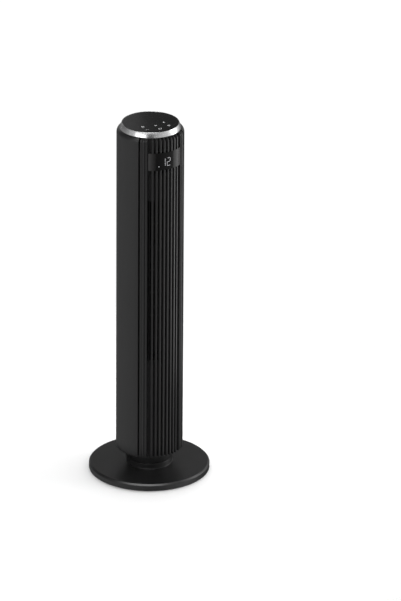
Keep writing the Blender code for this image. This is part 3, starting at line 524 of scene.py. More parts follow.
SATIN = moulded("satin_black_plastic", (0.0040, 0.0040, 0.0042), (0.0062, 0.0062, 0.0064), 0.34)
RIBBED = grille_look()
NECK_LOOK = moulded("neck_black_plastic", (0.0040, 0.0040, 0.0042), (0.0060, 0.0060, 0.0062), 0.38)
BASE_LOOK = moulded("base_black_plastic", (0.0045, 0.0045, 0.0047), (0.0068, 0.0068, 0.0070), 0.36)
DARK_INNER = moulded("inner_black_plastic", (0.0010, 0.0010, 0.0011), (0.0018, 0.0018, 0.0019), 0.62,
                     grain=1400.0, ior=1.3)
INNER_GREY = moulded("inner_grey_plastic", (0.020, 0.020, 0.021), (0.032, 0.032, 0.034), 0.50, grain=1400.0)
ACETAL = moulded("white_acetal", (0.66, 0.66, 0.64), (0.74, 0.74, 0.72), 0.38, grain=1800.0)
RUBBER = moulded("black_rubber", (0.010, 0.010, 0.010), (0.020, 0.020, 0.020), 0.75, grain=900.0,
                 relief=0.00008)
PANEL_LOOK = gloss_panel_look()
WINDOW_LOOK = window_look()
SILVER = brushed_silver_look()
STEEL = metal_look("turned_steel", (0.36, 0.36, 0.37), (0.55, 0.55, 0.56), 0.34)
IRON = metal_look("cast_iron", (0.10, 0.10, 0.11), (0.18, 0.18, 0.19), 0.55, (1.0, 1.0, 1.0))
BRONZE = metal_look("sintered_bronze", (0.40, 0.27, 0.12), (0.60, 0.42, 0.21), 0.42, (1.0, 1.0, 1.0))
BOARD = board_look()
WINDING = winding_look()
ICON_LOOK = glyph_look("touch_icon_print", (0.40, 0.40, 0.405), (0.56, 0.56, 0.565), 0.0)
LIT = glyph_look("display_light", (0.50, 0.50, 0.52), (0.66, 0.66, 0.68), 0.22)

CAD_LOOKS = {
    "base_plate": SATIN, "base_weight": IRON, "cord_gland": RUBBER, "pivot_post": STEEL, "sun_gear": ACETAL,
    "thrust_washer": ACETAL, "lock_nut": STEEL, "drive_pinion": ACETAL, "swing_shaft": STEEL,
    "bottom_cap": DARK_INNER, "swing_motor": STEEL, "panel_tray": INNER_GREY, "touch_board": BOARD,
    "display_module": INNER_GREY, "scroll_wall": DARK_INNER, "vortex_tongue": DARK_INNER,
    "duct_floor": DARK_INNER, "duct_ceiling": DARK_INNER, "impeller_hub": DARK_INNER,
    "impeller_end_cap": DARK_INNER, "motor_shaft": STEEL, "motor_rotor": STEEL, "motor_housing": STEEL,
    "motor_stator": WINDING, "motor_mount": RUBBER, "top_bearing": BRONZE, "power_board": BOARD,
}


def look_of(name):
    if name.startswith(("base_screw", "cap_screw")):
        return STEEL
    if name.startswith("foot"):
        return RUBBER
    return CAD_LOOKS.get(name, DARK_INNER)


for name, node in NODES.items():
    if not node.data.materials:
        node.data.materials.append(None)
    for index in range(len(node.data.materials)):
        node.data.materials[index] = look_of(name)


# Column shell

def shoulder(steps=12):
    """(height, drop of radius) up the rounded top edge of the shell."""
    turn = math.radians(SHOULDER_TURN)
    across = (RIB_RADIUS - SHOULDER_RADIUS) / (1 - math.cos(turn))
    up = (SHELL_TOP - SHOULDER_START) / math.sin(turn)
    return [(SHOULDER_START + up * math.sin(turn * i / steps), across * (1 - math.cos(turn * i / steps)))
            for i in range(steps + 1)]


def shell_levels(extra):
    """(height, drop of radius) from the foot of the shell to its top, with the given levels added."""
    foot = []
    for i in range(5):
        angle = math.pi / 2 * i / 4
        foot.append((SHELL_BOTTOM + FOOT_ROUND * (1 - math.cos(angle)), FOOT_ROUND * (1 - math.sin(angle))))
    middle = [(height, 0.0) for height in sorted(extra)]
    return foot + middle + shoulder()


def casing():
    """Smooth shell round the back, with the inlet and the handle opening in it."""
    edges = [INLET_LOW - GAP, INLET_HIGH + GAP, CUP_LOW - GAP, CUP_HIGH + GAP]
    levels = shell_levels(edges + CASING_BANDS)
    inlet = (180 - INLET_BEARING, 180 + INLET_BEARING)
    handle = (180 - HANDLE_BEARING - HANDLE_GAP, 180 + HANDLE_BEARING + HANDLE_GAP)
    front_edge = BACKING_BEARING + BACKING_GAP
    stops = [SEAM_BEARING, inlet[0], handle[0], handle[1], inlet[1], 360 - SEAM_BEARING]
    bearings = []
    for low, high in zip(stops, stops[1:]):
        bearings += spaced(low, high, 2.5)[:-1]
    bearings.append(stops[-1])

    def outer(i, j):
        height, drop = levels[j]
        return COLUMN_RADIUS - drop, height

    def inner(i, j):
        height, drop = levels[j]
        radius = COLUMN_RADIUS - WALL - drop
        if bearings[i] < front_edge or bearings[i] > 360 - front_edge:
            radius = max(radius, BACKING_OUTER + GAP)
        return radius, height

    def solid(i, j):
        bearing = (bearings[i] + bearings[i + 1]) / 2
        height = (levels[j][0] + levels[j + 1][0]) / 2
        in_inlet = inlet[0] < bearing < inlet[1] and edges[0] < height < edges[1]
        in_handle = handle[0] < bearing < handle[1] and edges[2] < height < edges[3]
        return not (in_inlet or in_handle)

    builder = curved_grid(bearings, levels, outer, inner, solid)
    piece = finish("casing_shell", builder, SATIN, "column", ("main_housing",))
    bevelled(piece, 0.00045, 2, 50.0)


def flank(edge, depth, radius, rising=True, steps=5, reach=1.0):
    """(bearing, depth) points of a rib's side: up to its face on the left, or down from it on the right."""
    inward = 1 if rising else -1
    degrees = math.degrees(radius * reach / RIB_RADIUS)
    points = [(edge - inward * FLANK_DRAFT, depth), (edge, radius)]
    for i in range(1, steps + 1):
        angle = math.pi / 2 * i / steps
        points.append((edge + inward * degrees * (1 - math.cos(angle)), radius * (1 - math.sin(angle))))
    return points if rising else points[::-1]


def front_sections():
    """(bearing, depth below the rib faces) across the front grille, left to right."""
    full = RIB_RADIUS - BACKING_OUTER
    side = flank(FRAME_RIB[0], full, FRAME_RIB_ROUND)
    side += flank(FRAME_RIB[1], FRAME_GROOVE_DEPTH, FRAME_RIB_ROUND, rising=False)
    side += flank(FRAME_BAND[0], FRAME_GROOVE_DEPTH, FRAME_BAND_ROUNDS[0])
    side += [(VALLEY_BEARING - turn, depth) for turn, depth in VALLEY_SIDE]
    side += [(VALLEY_BEARING, VALLEY_DEPTH)]
    side += [(VALLEY_BEARING + turn, depth) for turn, depth in reversed(VALLEY_SIDE)]
    side += flank(FRAME_BAND[1], full, FRAME_BAND_ROUNDS[1], rising=False, steps=6)
    side += [(BACKING_BEARING + BACKING_LAP, full)]
    stations = [(-bearing, depth) for bearing, depth in reversed(side)]
    for k in range(-RIBS_EACH_SIDE, RIBS_EACH_SIDE):
        centre = (k + 0.5) * RIB_PITCH
        stations += flank(centre - RIB_HALF, full, RIB_ROUND, reach=RIB_REACH)
        stations += [(centre, 0.0)]
        stations += flank(centre + RIB_HALF, full, RIB_ROUND, rising=False, reach=RIB_REACH)
    return stations + side


def front_grille():
    """Standing ribs on a backing wall that is open behind them over the outlet."""
    sections = front_sections()
    bearings = [bearing for bearing, _ in sections]
    depths = [depth for _, depth in sections]
    full = RIB_RADIUS - BACKING_OUTER
    step = EDGE_STEP
    low, high = OUTLET_LOW - GAP, OUTLET_HIGH + GAP
    pocket_low, pocket_high = WINDOW_LOW - GAP, WINDOW_HIGH + GAP
    edges = [low, low + step, high - step, high]
    edges += [pocket_low, pocket_low + step, pocket_high - step, pocket_high]
    levels = shell_levels(edges + GRILLE_BANDS)
    pocket_edge = WINDOW_BEARING + WINDOW_POCKET_GAP

    def outer(i, j):
        height, drop = levels[j]
        radius = max(RIB_RADIUS - max(depths[i], drop), BACKING_OUTER)
        if 0.0 < depths[i] < full:
            radius = max(RIB_RADIUS - depths[i] - drop, BACKING_OUTER)
        if pocket_low + step / 2 < height < pocket_high - step / 2 and abs(bearings[i]) < pocket_edge:
            radius = min(radius, WINDOW_POCKET)
        return radius, height

    def inner(i, j):
        height = levels[j][0]
        if low + step / 2 < height < high - step / 2 and abs(bearings[i]) < OUTLET_BEARING:
            return RIB_BACK, height
        return BACKING_INNER, height

    def solid(i, j):
        bearing = (bearings[i] + bearings[i + 1]) / 2
        height = (levels[j][0] + levels[j + 1][0]) / 2
        gap = depths[i] >= full - 1e-9 and depths[i + 1] >= full - 1e-9
        if low + step < height < high - step and abs(bearing) < OUTLET_BEARING and gap:
            return False
        in_module = abs(bearing) < MODULE_BEARING and MODULE_LEVELS[0] < height < MODULE_LEVELS[1]
        return not in_module

    builder = curved_grid(bearings, levels, outer, inner, solid)
    finish("front_grille_ribs", builder, RIBBED, "column", ("front_grille",), 28.0)


def rail_levels(low, high, bays, rail):
    """Lower and upper edge of each level rail, with equal bays between them."""
    pitch = (high - low - rail) / bays
    levels = [low]
    for i in range(bays):
        levels += [low + pitch * i + rail, low + pitch * (i + 1)]
    return levels + [high]


def outlet_guard():
    """Thin level rails behind the ribs, held by an upright at either side."""
    edge = OUTLET_BEARING - math.degrees(GAP / BACKING_OUTER)
    stile = math.degrees(GUARD_STILE / BACKING_OUTER)
    bearings = [-edge] + spaced(stile - edge, edge - stile, 2.0) + [edge]
    levels = rail_levels(OUTLET_LOW, OUTLET_HIGH, 7, 0.0016)

    def outer(i, j):
        return BACKING_OUTER - 0.0004, levels[j]

    def inner(i, j):
        return BACKING_INNER, levels[j]

    def solid(i, j):
        return i in (0, len(bearings) - 2) or j % 2 == 0

    builder = curved_grid(bearings, levels, outer, inner, solid)
    piece = finish("outlet_finger_guard", builder, DARK_INNER, "column", ("outlet_guard",))
    bevelled(piece, 0.0005, 2)


def rear_grille():
    """Inlet panel: upright bars with rounded faces between level rails."""
    slots, share = 15, 0.35
    low, high = 180 - INLET_BEARING + INLET_GAP, 180 + INLET_BEARING - INLET_GAP
    bar = share * (high - low) / (slots + share)
    pitch = (high - low - bar) / slots
    bearings = []
    for i in range(slots + 1):
        start = low + pitch * i
        bearings += [start, start + bar * 0.5, start + bar]
        if i < slots:
            bearings += [start + bar + (pitch - bar) * 0.5]
    upright = [((left + right) / 2 - low) % pitch < bar for left, right in zip(bearings, bearings[1:])]
    levels = rail_levels(INLET_LOW, INLET_HIGH, 3, 0.0050)

    def outer(i, j):
        return COLUMN_RADIUS - 0.0004, levels[j]

    def inner(i, j):
        return COLUMN_RADIUS - WALL - INLET_BAR_DEPTH, levels[j]

    def solid(i, j):
        return upright[i] or j % 2 == 0

    builder = curved_grid(bearings, levels, outer, inner, solid)
    piece = finish("rear_inlet_grille", builder, SATIN, "column", ("rear_grille",))
    bevelled(piece, 0.0006, 3)


def handle_recess():
    """Hand hold: a cup with a rounded lip, open to the back."""
    low, high = 180 - HANDLE_BEARING, 180 + HANDLE_BEARING
    inset = math.degrees(HANDLE_WALL / COLUMN_RADIUS)
    bearings = [low, low + inset] + spaced(low + inset, high - inset, 2.5)[1:-1] + [high - inset, high]
    levels = [CUP_LOW, CUP_LOW + HANDLE_WALL, CUP_HIGH - HANDLE_WALL, CUP_HIGH]
    radii = (RECESS_FLOOR, COLUMN_RADIUS - GAP, RECESS_FLOOR + HANDLE_WALL)
    back, rim, floor_face = range(3)
    last = len(bearings) - 1
    builder = bmesh.new()
    corners = {}
    for i in range(last + 1):
        for j in range(4):
            inside = 0 < i < last and j in (1, 2)
            for k in (back, rim, floor_face) if inside else (back, rim):
                corners[i, j, k] = builder.verts.new((*around(bearings[i], radii[k]), levels[j]))

    def face(*keys):
        builder.faces.new([corners[key] for key in keys])

    for i in range(last):
        for j in range(3):
            face((i, j, back), (i, j + 1, back), (i + 1, j + 1, back), (i + 1, j, back))
            in_mouth = 0 < i < last - 1 and j == 1
            k = floor_face if in_mouth else rim
            face((i, j, k), (i + 1, j, k), (i + 1, j + 1, k), (i, j + 1, k))
        for j in (0, 3):
            face((i, j, back), (i + 1, j, back), (i + 1, j, rim), (i, j, rim))
        if 0 < i < last - 1:
            for j in (1, 2):
                face((i, j, rim), (i + 1, j, rim), (i + 1, j, floor_face), (i, j, floor_face))
    for i in (0, last):
        for j in range(3):
            face((i, j, back), (i, j + 1, back), (i, j + 1, rim), (i, j, rim))
    for i in (1, last - 1):
        face((i, 1, rim), (i, 2, rim), (i, 2, floor_face), (i, 1, floor_face))
    piece = finish("handle_recess", builder, SATIN, "column", ("handle_cup",))
    bevelled(piece, 0.0011, 4, 40.0)


def neck():
    """Short collar between the base's boss and the column."""
    low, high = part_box("neck_collar")
    radius = high.x
    inner = radius - NECK_WALL
    points = [(inner, high.z), (radius, high.z), (radius - NECK_DRAFT, low.z), (inner, low.z)]
    skin = turned_mesh(rounded(points, (0, 0.0006, 0.0008, 0), 4), 96)
    finish("neck_collar_skin", skin, NECK_LOOK, "column", ("neck_collar",))


def trim_ring():
    """Brushed silver cone round the control panel, with softly rounded edges."""
    inner = PANEL_RADIUS + GAP
    foot = SHELL_TOP + GAP
    points = [(RING_FOOT, foot), (RING_TOP, TOP), (inner, TOP), (inner, TOP - RING_LIP), (RING_BORE, foot)]
    ring = turned_mesh(rounded(points, (0.0004, 0.0006, 0.0002, 0, 0), 5), 160)
    finish("brushed_trim_ring", ring, SILVER, "column", ("trim_ring",), 50.0)


def control_panel():
    """Flat gloss panel with a softly rounded edge."""
    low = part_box("control_panel")[0].z
    inner, level = PANEL_RADIUS - PANEL_ROUND, PANEL_TOP - PANEL_ROUND
    profile = [(PANEL_RADIUS, low), (PANEL_RADIUS, level)]
    for i in range(1, 6):
        angle = math.pi / 2 * i / 5
        profile.append((inner + PANEL_ROUND * math.cos(angle), level + PANEL_ROUND * math.sin(angle)))
    profile += [(PANEL_RADIUS * share, PANEL_TOP) for share in (0.9, 0.7, 0.45, 0.2)]
    profile += [(0.0, PANEL_TOP), (0.0, low)]
    finish("gloss_control_panel", turned_mesh(profile, 128), PANEL_LOOK, "column", ("control_panel",))


def window():
    """Curved display cover with rounded corners, flush with the ribs."""
    half = WINDOW_BEARING
    turn = math.degrees(WINDOW_CORNER / WINDOW_RADIUS)
    builder = bmesh.new()
    corner = []
    for i in range(7):
        angle = math.pi / 2 * i / 6
        corner.append((-half + turn * (1 - math.cos(angle)), WINDOW_CORNER * (1 - math.sin(angle))))
    middle = [(bearing, 0.0) for bearing in spaced(-half + turn, half - turn, 1.0)[1:-1]]
    columns = []
    for bearing, inset in corner + middle + [(-bearing, inset) for bearing, inset in reversed(corner)]:
        front = around(bearing, WINDOW_RADIUS)
        back = around(bearing, WINDOW_RADIUS - WINDOW_THICKNESS)
        low, high = WINDOW_LOW + inset, WINDOW_HIGH - inset
        columns.append([builder.verts.new((*place, height)) for place, height in
                        ((front, low), (front, high), (back, high), (back, low))])
    for first, second in zip(columns, columns[1:]):
        for k in range(4):
            builder.faces.new((first[k], first[(k + 1) % 4], second[(k + 1) % 4], second[k]))
    builder.faces.new(columns[0])
    builder.faces.new(columns[-1])
    piece = finish("smoked_display_window", builder, WINDOW_LOOK, "column", ("display_window",))
    bevelled(piece, 0.0004, 3, 50.0)


def base():
    """Weighted round base: a flat top with a bevelled rim, and a low boss under the neck."""
    outer = BASE_RADIUS + RIM_PROUD
    rim_inner = BASE_RADIUS - BASE_WALL
    boss_inner = BOSS_RADIUS - BASE_WALL
    corners = [  # (radius, height, rounding)
        (BASE_BORE, BOSS_TOP, 0), (BOSS_RADIUS, BOSS_TOP, 0.0010),
        (BOSS_RADIUS + BOSS_DRAFT, BASE_TOP, 0.0012), (outer - RIM_SLOPE, BASE_TOP, 0.0022),
        (outer, BASE_TOP - RIM_SLOPE, 0.0022), (outer, BASE_BOTTOM, 0.0006),
        (rim_inner, BASE_BOTTOM, 0), (rim_inner, BASE_TOP - BASE_SKIN, 0.0030),
        (boss_inner, BASE_TOP - BASE_SKIN, 0), (boss_inner, BOSS_TOP - BASE_WALL, 0),
        (BASE_BORE, BOSS_TOP - BASE_WALL, 0),
    ]
    profile = rounded([corner[:2] for corner in corners], [corner[2] for corner in corners], 10)
    dense = []
    for first, second in zip(profile, profile[1:] + profile[:1]):
        dense.append(first)
        if abs(first[0] - second[0]) > LONG_SPAN:
            dense += [tuple(Vector(first).lerp(Vector(second), k / 4)) for k in (1, 2, 3)]
    finish("weighted_base_cover", turned_mesh(dense, 180), BASE_LOOK, "base", ("base_cover",))


def foot_pads():
    """Soft rubber pads with a rounded edge."""
    for i in range(6):
        name = f"foot_{i + 1}"
        low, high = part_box(name)
        centre = (low + high) / 2
        radius = (high.x - low.x) / 2
        points = [(0.0, high.z), (radius, high.z), (radius, low.z), (0.0, low.z)]
        profile = rounded(points, (0, 0.0002, 0.0009, 0), 5)
        pad = turned_mesh(profile, 40, (centre.x, centre.y))
        finish(f"rubber_{name}", pad, RUBBER, "base", (name,))


def impeller():
    """Cross-flow impeller: seven rings of curved blades on thin discs."""
    for k in range(IMPELLER_SEGMENTS):
        name = f"impeller_segment_{k + 1}"
        low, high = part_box(name)
        radius = (high.x - low.x) / 2
        bore = radius - BLADE_BAND
        top = low.z + DISC_THICKNESS
        disc = rounded([(bore, top), (radius, top), (radius, low.z), (bore, low.z)], (0.0003,) * 4, 2)
        parts = [turned_mesh(disc, 72, (0.0, IMPELLER_Y))]
        bottom = low.z + DISC_THICKNESS * 0.4

        def lift(x, y, up, start=bottom):
            return x, y, start + up

        for i in range(BLADES):
            start = 360 * i / BLADES + SEGMENT_TWIST * k
            line = []
            for n in range(BLADE_STEPS + 1):
                share = n / BLADE_STEPS
                r = bore + 0.0006 + (BLADE_BAND - 0.0011) * share
                lead = math.radians(start + BLADE_SWEEP * share * share)
                line.append((r * math.cos(lead), IMPELLER_Y + r * math.sin(lead)))
            parts.append(ribbon(line, BLADE_THICKNESS, high.z - bottom, lift))
        finish(f"bladed_{name}", merged(parts), DARK_INNER, "impeller", (name,))


# Touch icons and display

INK_HEIGHT = 0.00006
INK_LIFT = 0.00001
ICON_STROKE = 0.00085
ICON_SCALE = 1.3


def on_panel(centre):
    """A function that puts (u, v, w) about an icon's centre on the panel."""
    def place(u, v, w):
        return centre[0] + u * ICON_SCALE, centre[1] + v * ICON_SCALE, PANEL_TOP + INK_LIFT + w
    return place


def icon(name, centre, strokes):
    """Line drawing on the panel: strokes are (points, closed) about the icon's centre."""
    parts = [ribbon(points, ICON_STROKE, INK_HEIGHT, on_panel(centre), closed) for points, closed in strokes]
    finish(name, merged(parts), ICON_LOOK, "column", ())


def full_ring(radius, steps=32):
    return arc_points((0, 0), radius, 0, 360 - 360 / steps, steps - 1), True


def open_arc(centre, radius, low, high, steps):
    return arc_points(centre, radius, low, high, steps), False


def touch_icons():
    """Timer, fan speed, night, swing, power and breeze."""
    r = 0.0026
    power = [open_arc((0, 0), r, 120, 420, 28), ([(0, 0.0008), (0, 0.0034)], False)]
    swing = [open_arc((0, -0.0012), r * 1.1, 35, 145, 16)]
    swing += [([(side * 0.0034, 0.0014), (side * 0.0023, 0.0003), (side * 0.0012, 0.0012)], False)
              for side in (-1, 1)]
    moon = [(arc_points((0, 0), r, 60, 300, 24) + arc_points((0.0011, 0), r * 0.9, 285, 75, 20), True)]
    timer = [full_ring(r), ([(0, 0.0017), (0, 0), (0.0012, -0.0007)], False)]
    hub = 0.0006
    speed = []
    for turn in (90, 210, 330):
        centre = (hub * math.cos(math.radians(turn)), hub * math.sin(math.radians(turn)))
        speed.append(open_arc(centre, 0.0017, turn - 60, turn + 70, 12))
    speed.append(full_ring(hub, 16))
    waves = []
    for y in (-0.0015, 0.0, 0.0015):
        line = []
        for i in range(17):
            line.append((-0.0028 + 0.0056 * i / 16, y + 0.0006 * math.sin(i / 16 * math.tau * 1.5)))
        waves.append((line, False))
    icon("icon_timer", (-0.0315, -0.0190), timer)
    icon("icon_speed", (0.0, -0.0260), speed)
    icon("icon_sleep", (0.0293, -0.0170), moon)
    icon("icon_swing", (-0.0310, -0.0410), swing)
    icon("icon_power", (0.0, -0.0490), power)
    icon("icon_mode", (0.0295, -0.0400), waves)


def on_window(u, v, w):
    """u metres round the window to the right of its centre, v metres above the window's middle."""
    bearing = math.degrees(u / WINDOW_RADIUS)
    return (*around(bearing, WINDOW_RADIUS + 2 * INK_LIFT + w), (WINDOW_LOW + WINDOW_HIGH) / 2 + v)


DIGIT_HEIGHT = 0.0200
DIGIT_WIDTH = 0.0085
DIGIT_STROKE = 0.0008
DIGIT_LOW = -0.0125
SEGMENT_GAP = 0.0006
SEGMENTS = {
    "a": ((0, 2), (1, 2)), "b": ((1, 1), (1, 2)), "c": ((1, 0), (1, 1)), "d": ((0, 0), (1, 0)),
    "e": ((0, 0), (0, 1)), "f": ((0, 1), (0, 2)), "g": ((0, 1), (1, 1)),
}


def digit(name, lit, corner):
    """Seven-segment numeral whose lower left corner is at corner = (u, v)."""
    parts = []
    for key in lit:
        start, end = (Vector((corner[0] + x * DIGIT_WIDTH, corner[1] + y * DIGIT_HEIGHT / 2))
                      for x, y in SEGMENTS[key])
        along = (end - start).normalized() * SEGMENT_GAP
        line = [tuple((start + along).lerp(end - along, k / 6)) for k in range(7)]
        parts.append(ribbon(line, DIGIT_STROKE, INK_HEIGHT, on_window))
    finish(name, merged(parts), LIT, "column", ())


def dot(name, centre, radius, sides=20):
    """Small round light on the window."""
    builder = bmesh.new()
    low, high = [], []
    for i in range(sides):
        angle = math.tau * i / sides
        u, v = centre[0] + radius * math.cos(angle), centre[1] + radius * math.sin(angle)
        low.append(builder.verts.new(on_window(u, v, 0.0)))
        high.append(builder.verts.new(on_window(u, v, INK_HEIGHT)))
    for i in range(sides):
        j = (i + 1) % sides
        builder.faces.new((low[i], low[j], high[j], high[i]))
    builder.faces.new(high)
    builder.faces.new(low[::-1])
    finish(name, builder, LIT, "column", ())


def display():
    """The number 12 and a dot beside it."""
    digit("digit_tens", "bc", (-0.0124, DIGIT_LOW))
    digit("digit_units", "abged", (0.0016, DIGIT_LOW))
    dot("status_dot", (-0.0199, DIGIT_LOW), 0.0012)


casing()
front_grille()
outlet_guard()
rear_grille()
handle_recess()
neck()
trim_ring()
control_panel()
window()
base()
foot_pads()
impeller()
touch_icons()
display()


# Stage, lights and camera

CAMERA_AZIMUTH = -29.15
CAMERA_ELEVATION = 23.389
CAMERA_ROLL = 0.395
CAMERA_DISTANCE = 16.626
FOCAL_PIXELS = 6772.6
AIM_HEIGHT = 0.47
AIM_RIGHT = -0.1244
AIM_UP = 0.0206
LONG_SIDE = 601
SENSOR = 36.0
FLOOR_RADIUS = 1.25
FLOOR_FADE = (0.45, 1.20)


def photo_camera():
    """Long lens aimed beside the column, so that the fan stands left of the middle."""
    azimuth, elevation, roll = (math.radians(x) for x in (CAMERA_AZIMUTH, CAMERA_ELEVATION, CAMERA_ROLL))
    back = Vector((math.sin(azimuth) * math.cos(elevation), -math.cos(azimuth) * math.cos(elevation),
                   math.sin(elevation)))
    level_right = Vector((math.cos(azimuth), math.sin(azimuth), 0.0))
    level_up = back.cross(level_right)
    right = level_right * math.cos(roll) + level_up * math.sin(roll)
    up = level_up * math.cos(roll) - level_right * math.sin(roll)
    place = Vector((0, 0, AIM_HEIGHT)) - right * AIM_RIGHT - up * AIM_UP + back * CAMERA_DISTANCE
    data = bpy.data.cameras.new("photo_camera")
    data.sensor_width = SENSOR
    data.lens = FOCAL_PIXELS * SENSOR / LONG_SIDE
    data.clip_start = 0.5
    data.clip_end = 60.0
    camera = bpy.data.objects.new("photo_camera", data)
    camera.matrix_world = Matrix((
        (right.x, up.x, back.x, place.x),
        (right.y, up.y, back.y, place.y),
        (right.z, up.z, back.z, place.z),
        (0, 0, 0, 1)))
    bpy.context.scene.collection.objects.link(camera)
    bpy.context.scene.camera = camera


def softbox(name, azimuth, distance, height, size, radiance, tilt=0.0):
    """A rectangular light that faces the column's axis. Its power comes from its radiance."""
    width, tall = size
    data = bpy.data.lights.new(name, "AREA")
    data.shape = "RECTANGLE"
    data.size, data.size_y = width, tall
    data.energy = radiance * math.pi * width * tall
    lamp = bpy.data.objects.new(name, data)
    angle = math.radians(azimuth)
    lamp.location = (distance * math.sin(angle), -distance * math.cos(angle), height)
    facing = Vector((0, 0, height + math.tan(math.radians(tilt)) * distance)) - lamp.location
    lamp.rotation_euler = facing.to_track_quat("-Z", "Y").to_euler()
    lamp.visible_camera = False
    bpy.context.scene.collection.objects.link(lamp)


def floor():
    """A pale disc that fades out into the white round it."""
    material = bpy.data.materials.new("pale_floor")
    material.use_nodes = True
    tree = material.node_tree
    shader = tree.nodes["Principled BSDF"].inputs
    shader["Base Color"].default_value = (0.92, 0.92, 0.92, 1.0)
    shader["Roughness"].default_value = 0.9
    shader["Specular IOR Level"].default_value = 0.0
    place = add_node(tree, "TexCoord", {}).outputs["Object"]
    distance = add_node(tree, "VectorMath", {0: place}, operation="LENGTH").outputs["Value"]
    fade = map_range(tree, distance, FLOOR_FADE, (1.0, 0.0), interpolation_type="SMOOTHSTEP")
    tree.links.new(fade, shader["Alpha"])
    builder = bmesh.new()
    bmesh.ops.create_circle(builder, cap_ends=True, radius=FLOOR_RADIUS, segments=96)
    mesh = bpy.data.meshes.new("floor")
    builder.to_mesh(mesh)
    builder.free()
    mesh.materials.append(material)
    piece = bpy.data.objects.new("floor", mesh)
    piece.location = (0, 0, -0.0002)
    bpy.context.scene.collection.objects.link(piece)
    piece.visible_glossy = False


# Radiance of the room low down and high up: (azimuth from the camera's, radiance)
LOWER_ROOM = (
    (-180, .15), (-160, .15), (-140, .22), (-120, .38), (-90, .68), (-60, .85), (-45, .78), (-30, .70),
    (-15, .72), (0, .50), (10, .45), (23, .60), (37, .75), (51, .90), (65, 1.0), (85, 1.0), (105, .42),
    (120, .18), (135, .11), (160, .11))
UPPER_ROOM = (
    (-180, .32), (-146, .34), (-130, .16), (-113, .20), (-95, .32), (-77, .60), (-58, .70), (-39, .70),
    (-20, .50), (-6, .08), (6, .08), (20, .50), (39, .62), (58, .75), (77, 1.0), (95, 1.2), (113, 1.4),
    (130, 1.0), (146, .60), (163, .30))
ROOM_SCALE = 4.0  # more than any radiance above, because a ramp's colours stop at 1
ROOM_HEIGHTS = (-0.30, 0.12)  # the low room gives way to the high one between these
ROOM_TOP = (0.38, 0.75)  # and the room darkens between these
TOP_SHARE = 0.15
FLOOR_LIGHT = 1.14
FLOOR_LIGHT_LOW = 2.2
FLOOR_LIGHT_HIGH = 0.45
FLOOR_LIGHT_BEHIND = 0.9
WHITE = 1.02
OVERHEAD_LIGHT = 6.0
OVERHEAD_PLACE = (-10.0, 62.0)  # azimuth from the camera's, and elevation
OVERHEAD_EDGE = (34.0, 14.0)  # degrees off its middle where it starts and is full


def direction(azimuth, elevation):
    """Unit vector for an azimuth from the camera's and an elevation."""
    turn, rise = math.radians(CAMERA_AZIMUTH + azimuth), math.radians(elevation)
    return math.sin(turn) * math.cos(rise), -math.cos(turn) * math.cos(rise), math.sin(rise)


def room_ramp(tree, azimuth, room):
    """Radiance round the room, as a share of ROOM_SCALE."""
    stops = sorted((((turn + CAMERA_AZIMUTH + 180) % 360) / 360, value) for turn, value in room)
    (first, first_value), (last, last_value) = stops[0], stops[-1]
    share = (1 - last) / (1 - last + first)
    wrap = last_value + (first_value - last_value) * share
    stops = [(0.0, wrap)] + stops + [(1.0, wrap)]
    ramp = add_node(tree, "ValToRGB", {"Fac": azimuth})
    elements = ramp.color_ramp.elements
    while len(elements) < len(stops):
        elements.new(0.5)
    for element, (position, _) in zip(elements, stops):
        element.position = position
    for element, (_, value) in zip(elements, stops):
        level = value / ROOM_SCALE
        element.color = (level, level, level, 1.0)
    return ramp.outputs["Color"]


def background(tree, strength, colour=(1, 1, 1, 1)):
    return add_node(tree, "Background", {"Color": colour, "Strength": strength}).outputs["Background"]


def room_light(tree, axes):
    """What reflections see: a soft grey room with lit sides, dark above."""
    forward = arithmetic(tree, "MULTIPLY", axes["Y"], -1.0)
    angle = arithmetic(tree, "ARCTAN2", axes["X"], forward)
    azimuth = arithmetic(tree, "MULTIPLY_ADD", angle, 1 / math.tau, 0.5)
    height = map_range(tree, axes["Z"], ROOM_HEIGHTS, (0.0, 1.0), interpolation_type="SMOOTHSTEP")
    high = map_range(tree, axes["Z"], ROOM_TOP, (1.0, TOP_SHARE), interpolation_type="SMOOTHSTEP")
    low_room, high_room = room_ramp(tree, azimuth, LOWER_ROOM), room_ramp(tree, azimuth, UPPER_ROOM)
    inputs = {"Factor": height, 6: low_room, 7: high_room}  # 6, 7 and output 2 are the colours
    room = add_node(tree, "Mix", inputs, data_type="RGBA").outputs[2]
    return background(tree, arithmetic(tree, "MULTIPLY", high, ROOM_SCALE), room)


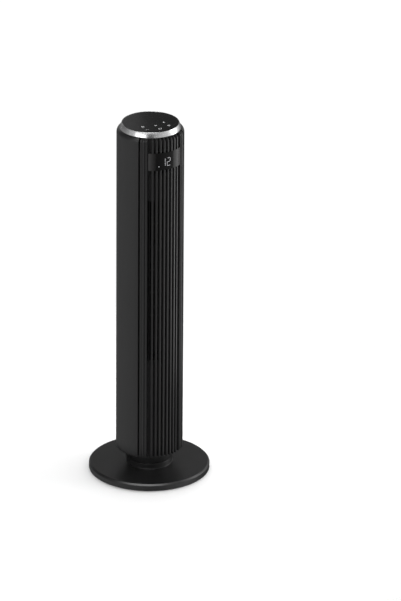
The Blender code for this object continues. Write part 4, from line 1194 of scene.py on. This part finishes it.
def overhead_light(tree, place):
    """A round soft light high in front, which the base's rim reflects."""
    inputs = {0: place, 1: direction(*OVERHEAD_PLACE)}
    facing = add_node(tree, "VectorMath", inputs, operation="DOT_PRODUCT").outputs["Value"]
    edge = [math.cos(math.radians(turn)) for turn in OVERHEAD_EDGE]
    strength = map_range(tree, facing, edge, (0.0, OVERHEAD_LIGHT), interpolation_type="SMOOTHSTEP")
    return background(tree, strength)


def floor_light(tree, axes, place):
    """What lights matt surfaces: most of it comes from low down and from behind."""
    shares = (FLOOR_LIGHT_LOW * FLOOR_LIGHT, FLOOR_LIGHT_HIGH * FLOOR_LIGHT)
    low = map_range(tree, axes["Z"], (0.0, 1.0), shares)
    inputs = {0: place, 1: direction(180.0, 0.0)}
    toward = add_node(tree, "VectorMath", inputs, operation="DOT_PRODUCT").outputs["Value"]
    behind = arithmetic(tree, "MULTIPLY_ADD", toward, FLOOR_LIGHT_BEHIND, 1.0)
    return background(tree, arithmetic(tree, "MULTIPLY", low, behind))


def world():
    """Plain white to the eye, with one light for reflections and another for matt surfaces."""
    made = bpy.data.worlds.new("studio")
    made.use_nodes = True
    made.cycles.sampling_method = "NONE"
    bpy.context.scene.world = made
    tree = made.node_tree
    tree.nodes.clear()
    place = add_node(tree, "TexCoord", {}).outputs["Generated"]
    axes = add_node(tree, "SeparateXYZ", {"Vector": place}).outputs
    reflected = add_node(tree, "AddShader", {0: room_light(tree, axes), 1: overhead_light(tree, place)})
    path = add_node(tree, "LightPath", {}).outputs
    matt = floor_light(tree, axes, place)
    inputs = {"Fac": path["Is Diffuse Ray"], 1: reflected.outputs["Shader"], 2: matt}
    lit = add_node(tree, "MixShader", inputs).outputs["Shader"]
    inputs = {"Fac": path["Is Camera Ray"], 1: lit, 2: background(tree, WHITE)}
    seen = add_node(tree, "MixShader", inputs).outputs["Shader"]
    add_node(tree, "OutputWorld", {"Surface": seen})


photo_camera()
floor()
world()
softbox("right_softbox", 64.0, 0.62, 0.60, (0.26, 1.16), 3.0)
softbox("front_softbox", CAMERA_AZIMUTH - 34.0, 0.60, 1.05, (0.42, 0.15), 2.3, -20.0)
softbox("back_card", CAMERA_AZIMUTH - 158.0, 0.60, 1.15, (0.42, 0.34), 0.55, -22.0)

bpy.context.scene.view_settings.view_transform = "Standard"
bpy.context.scene.view_settings.look = "None"
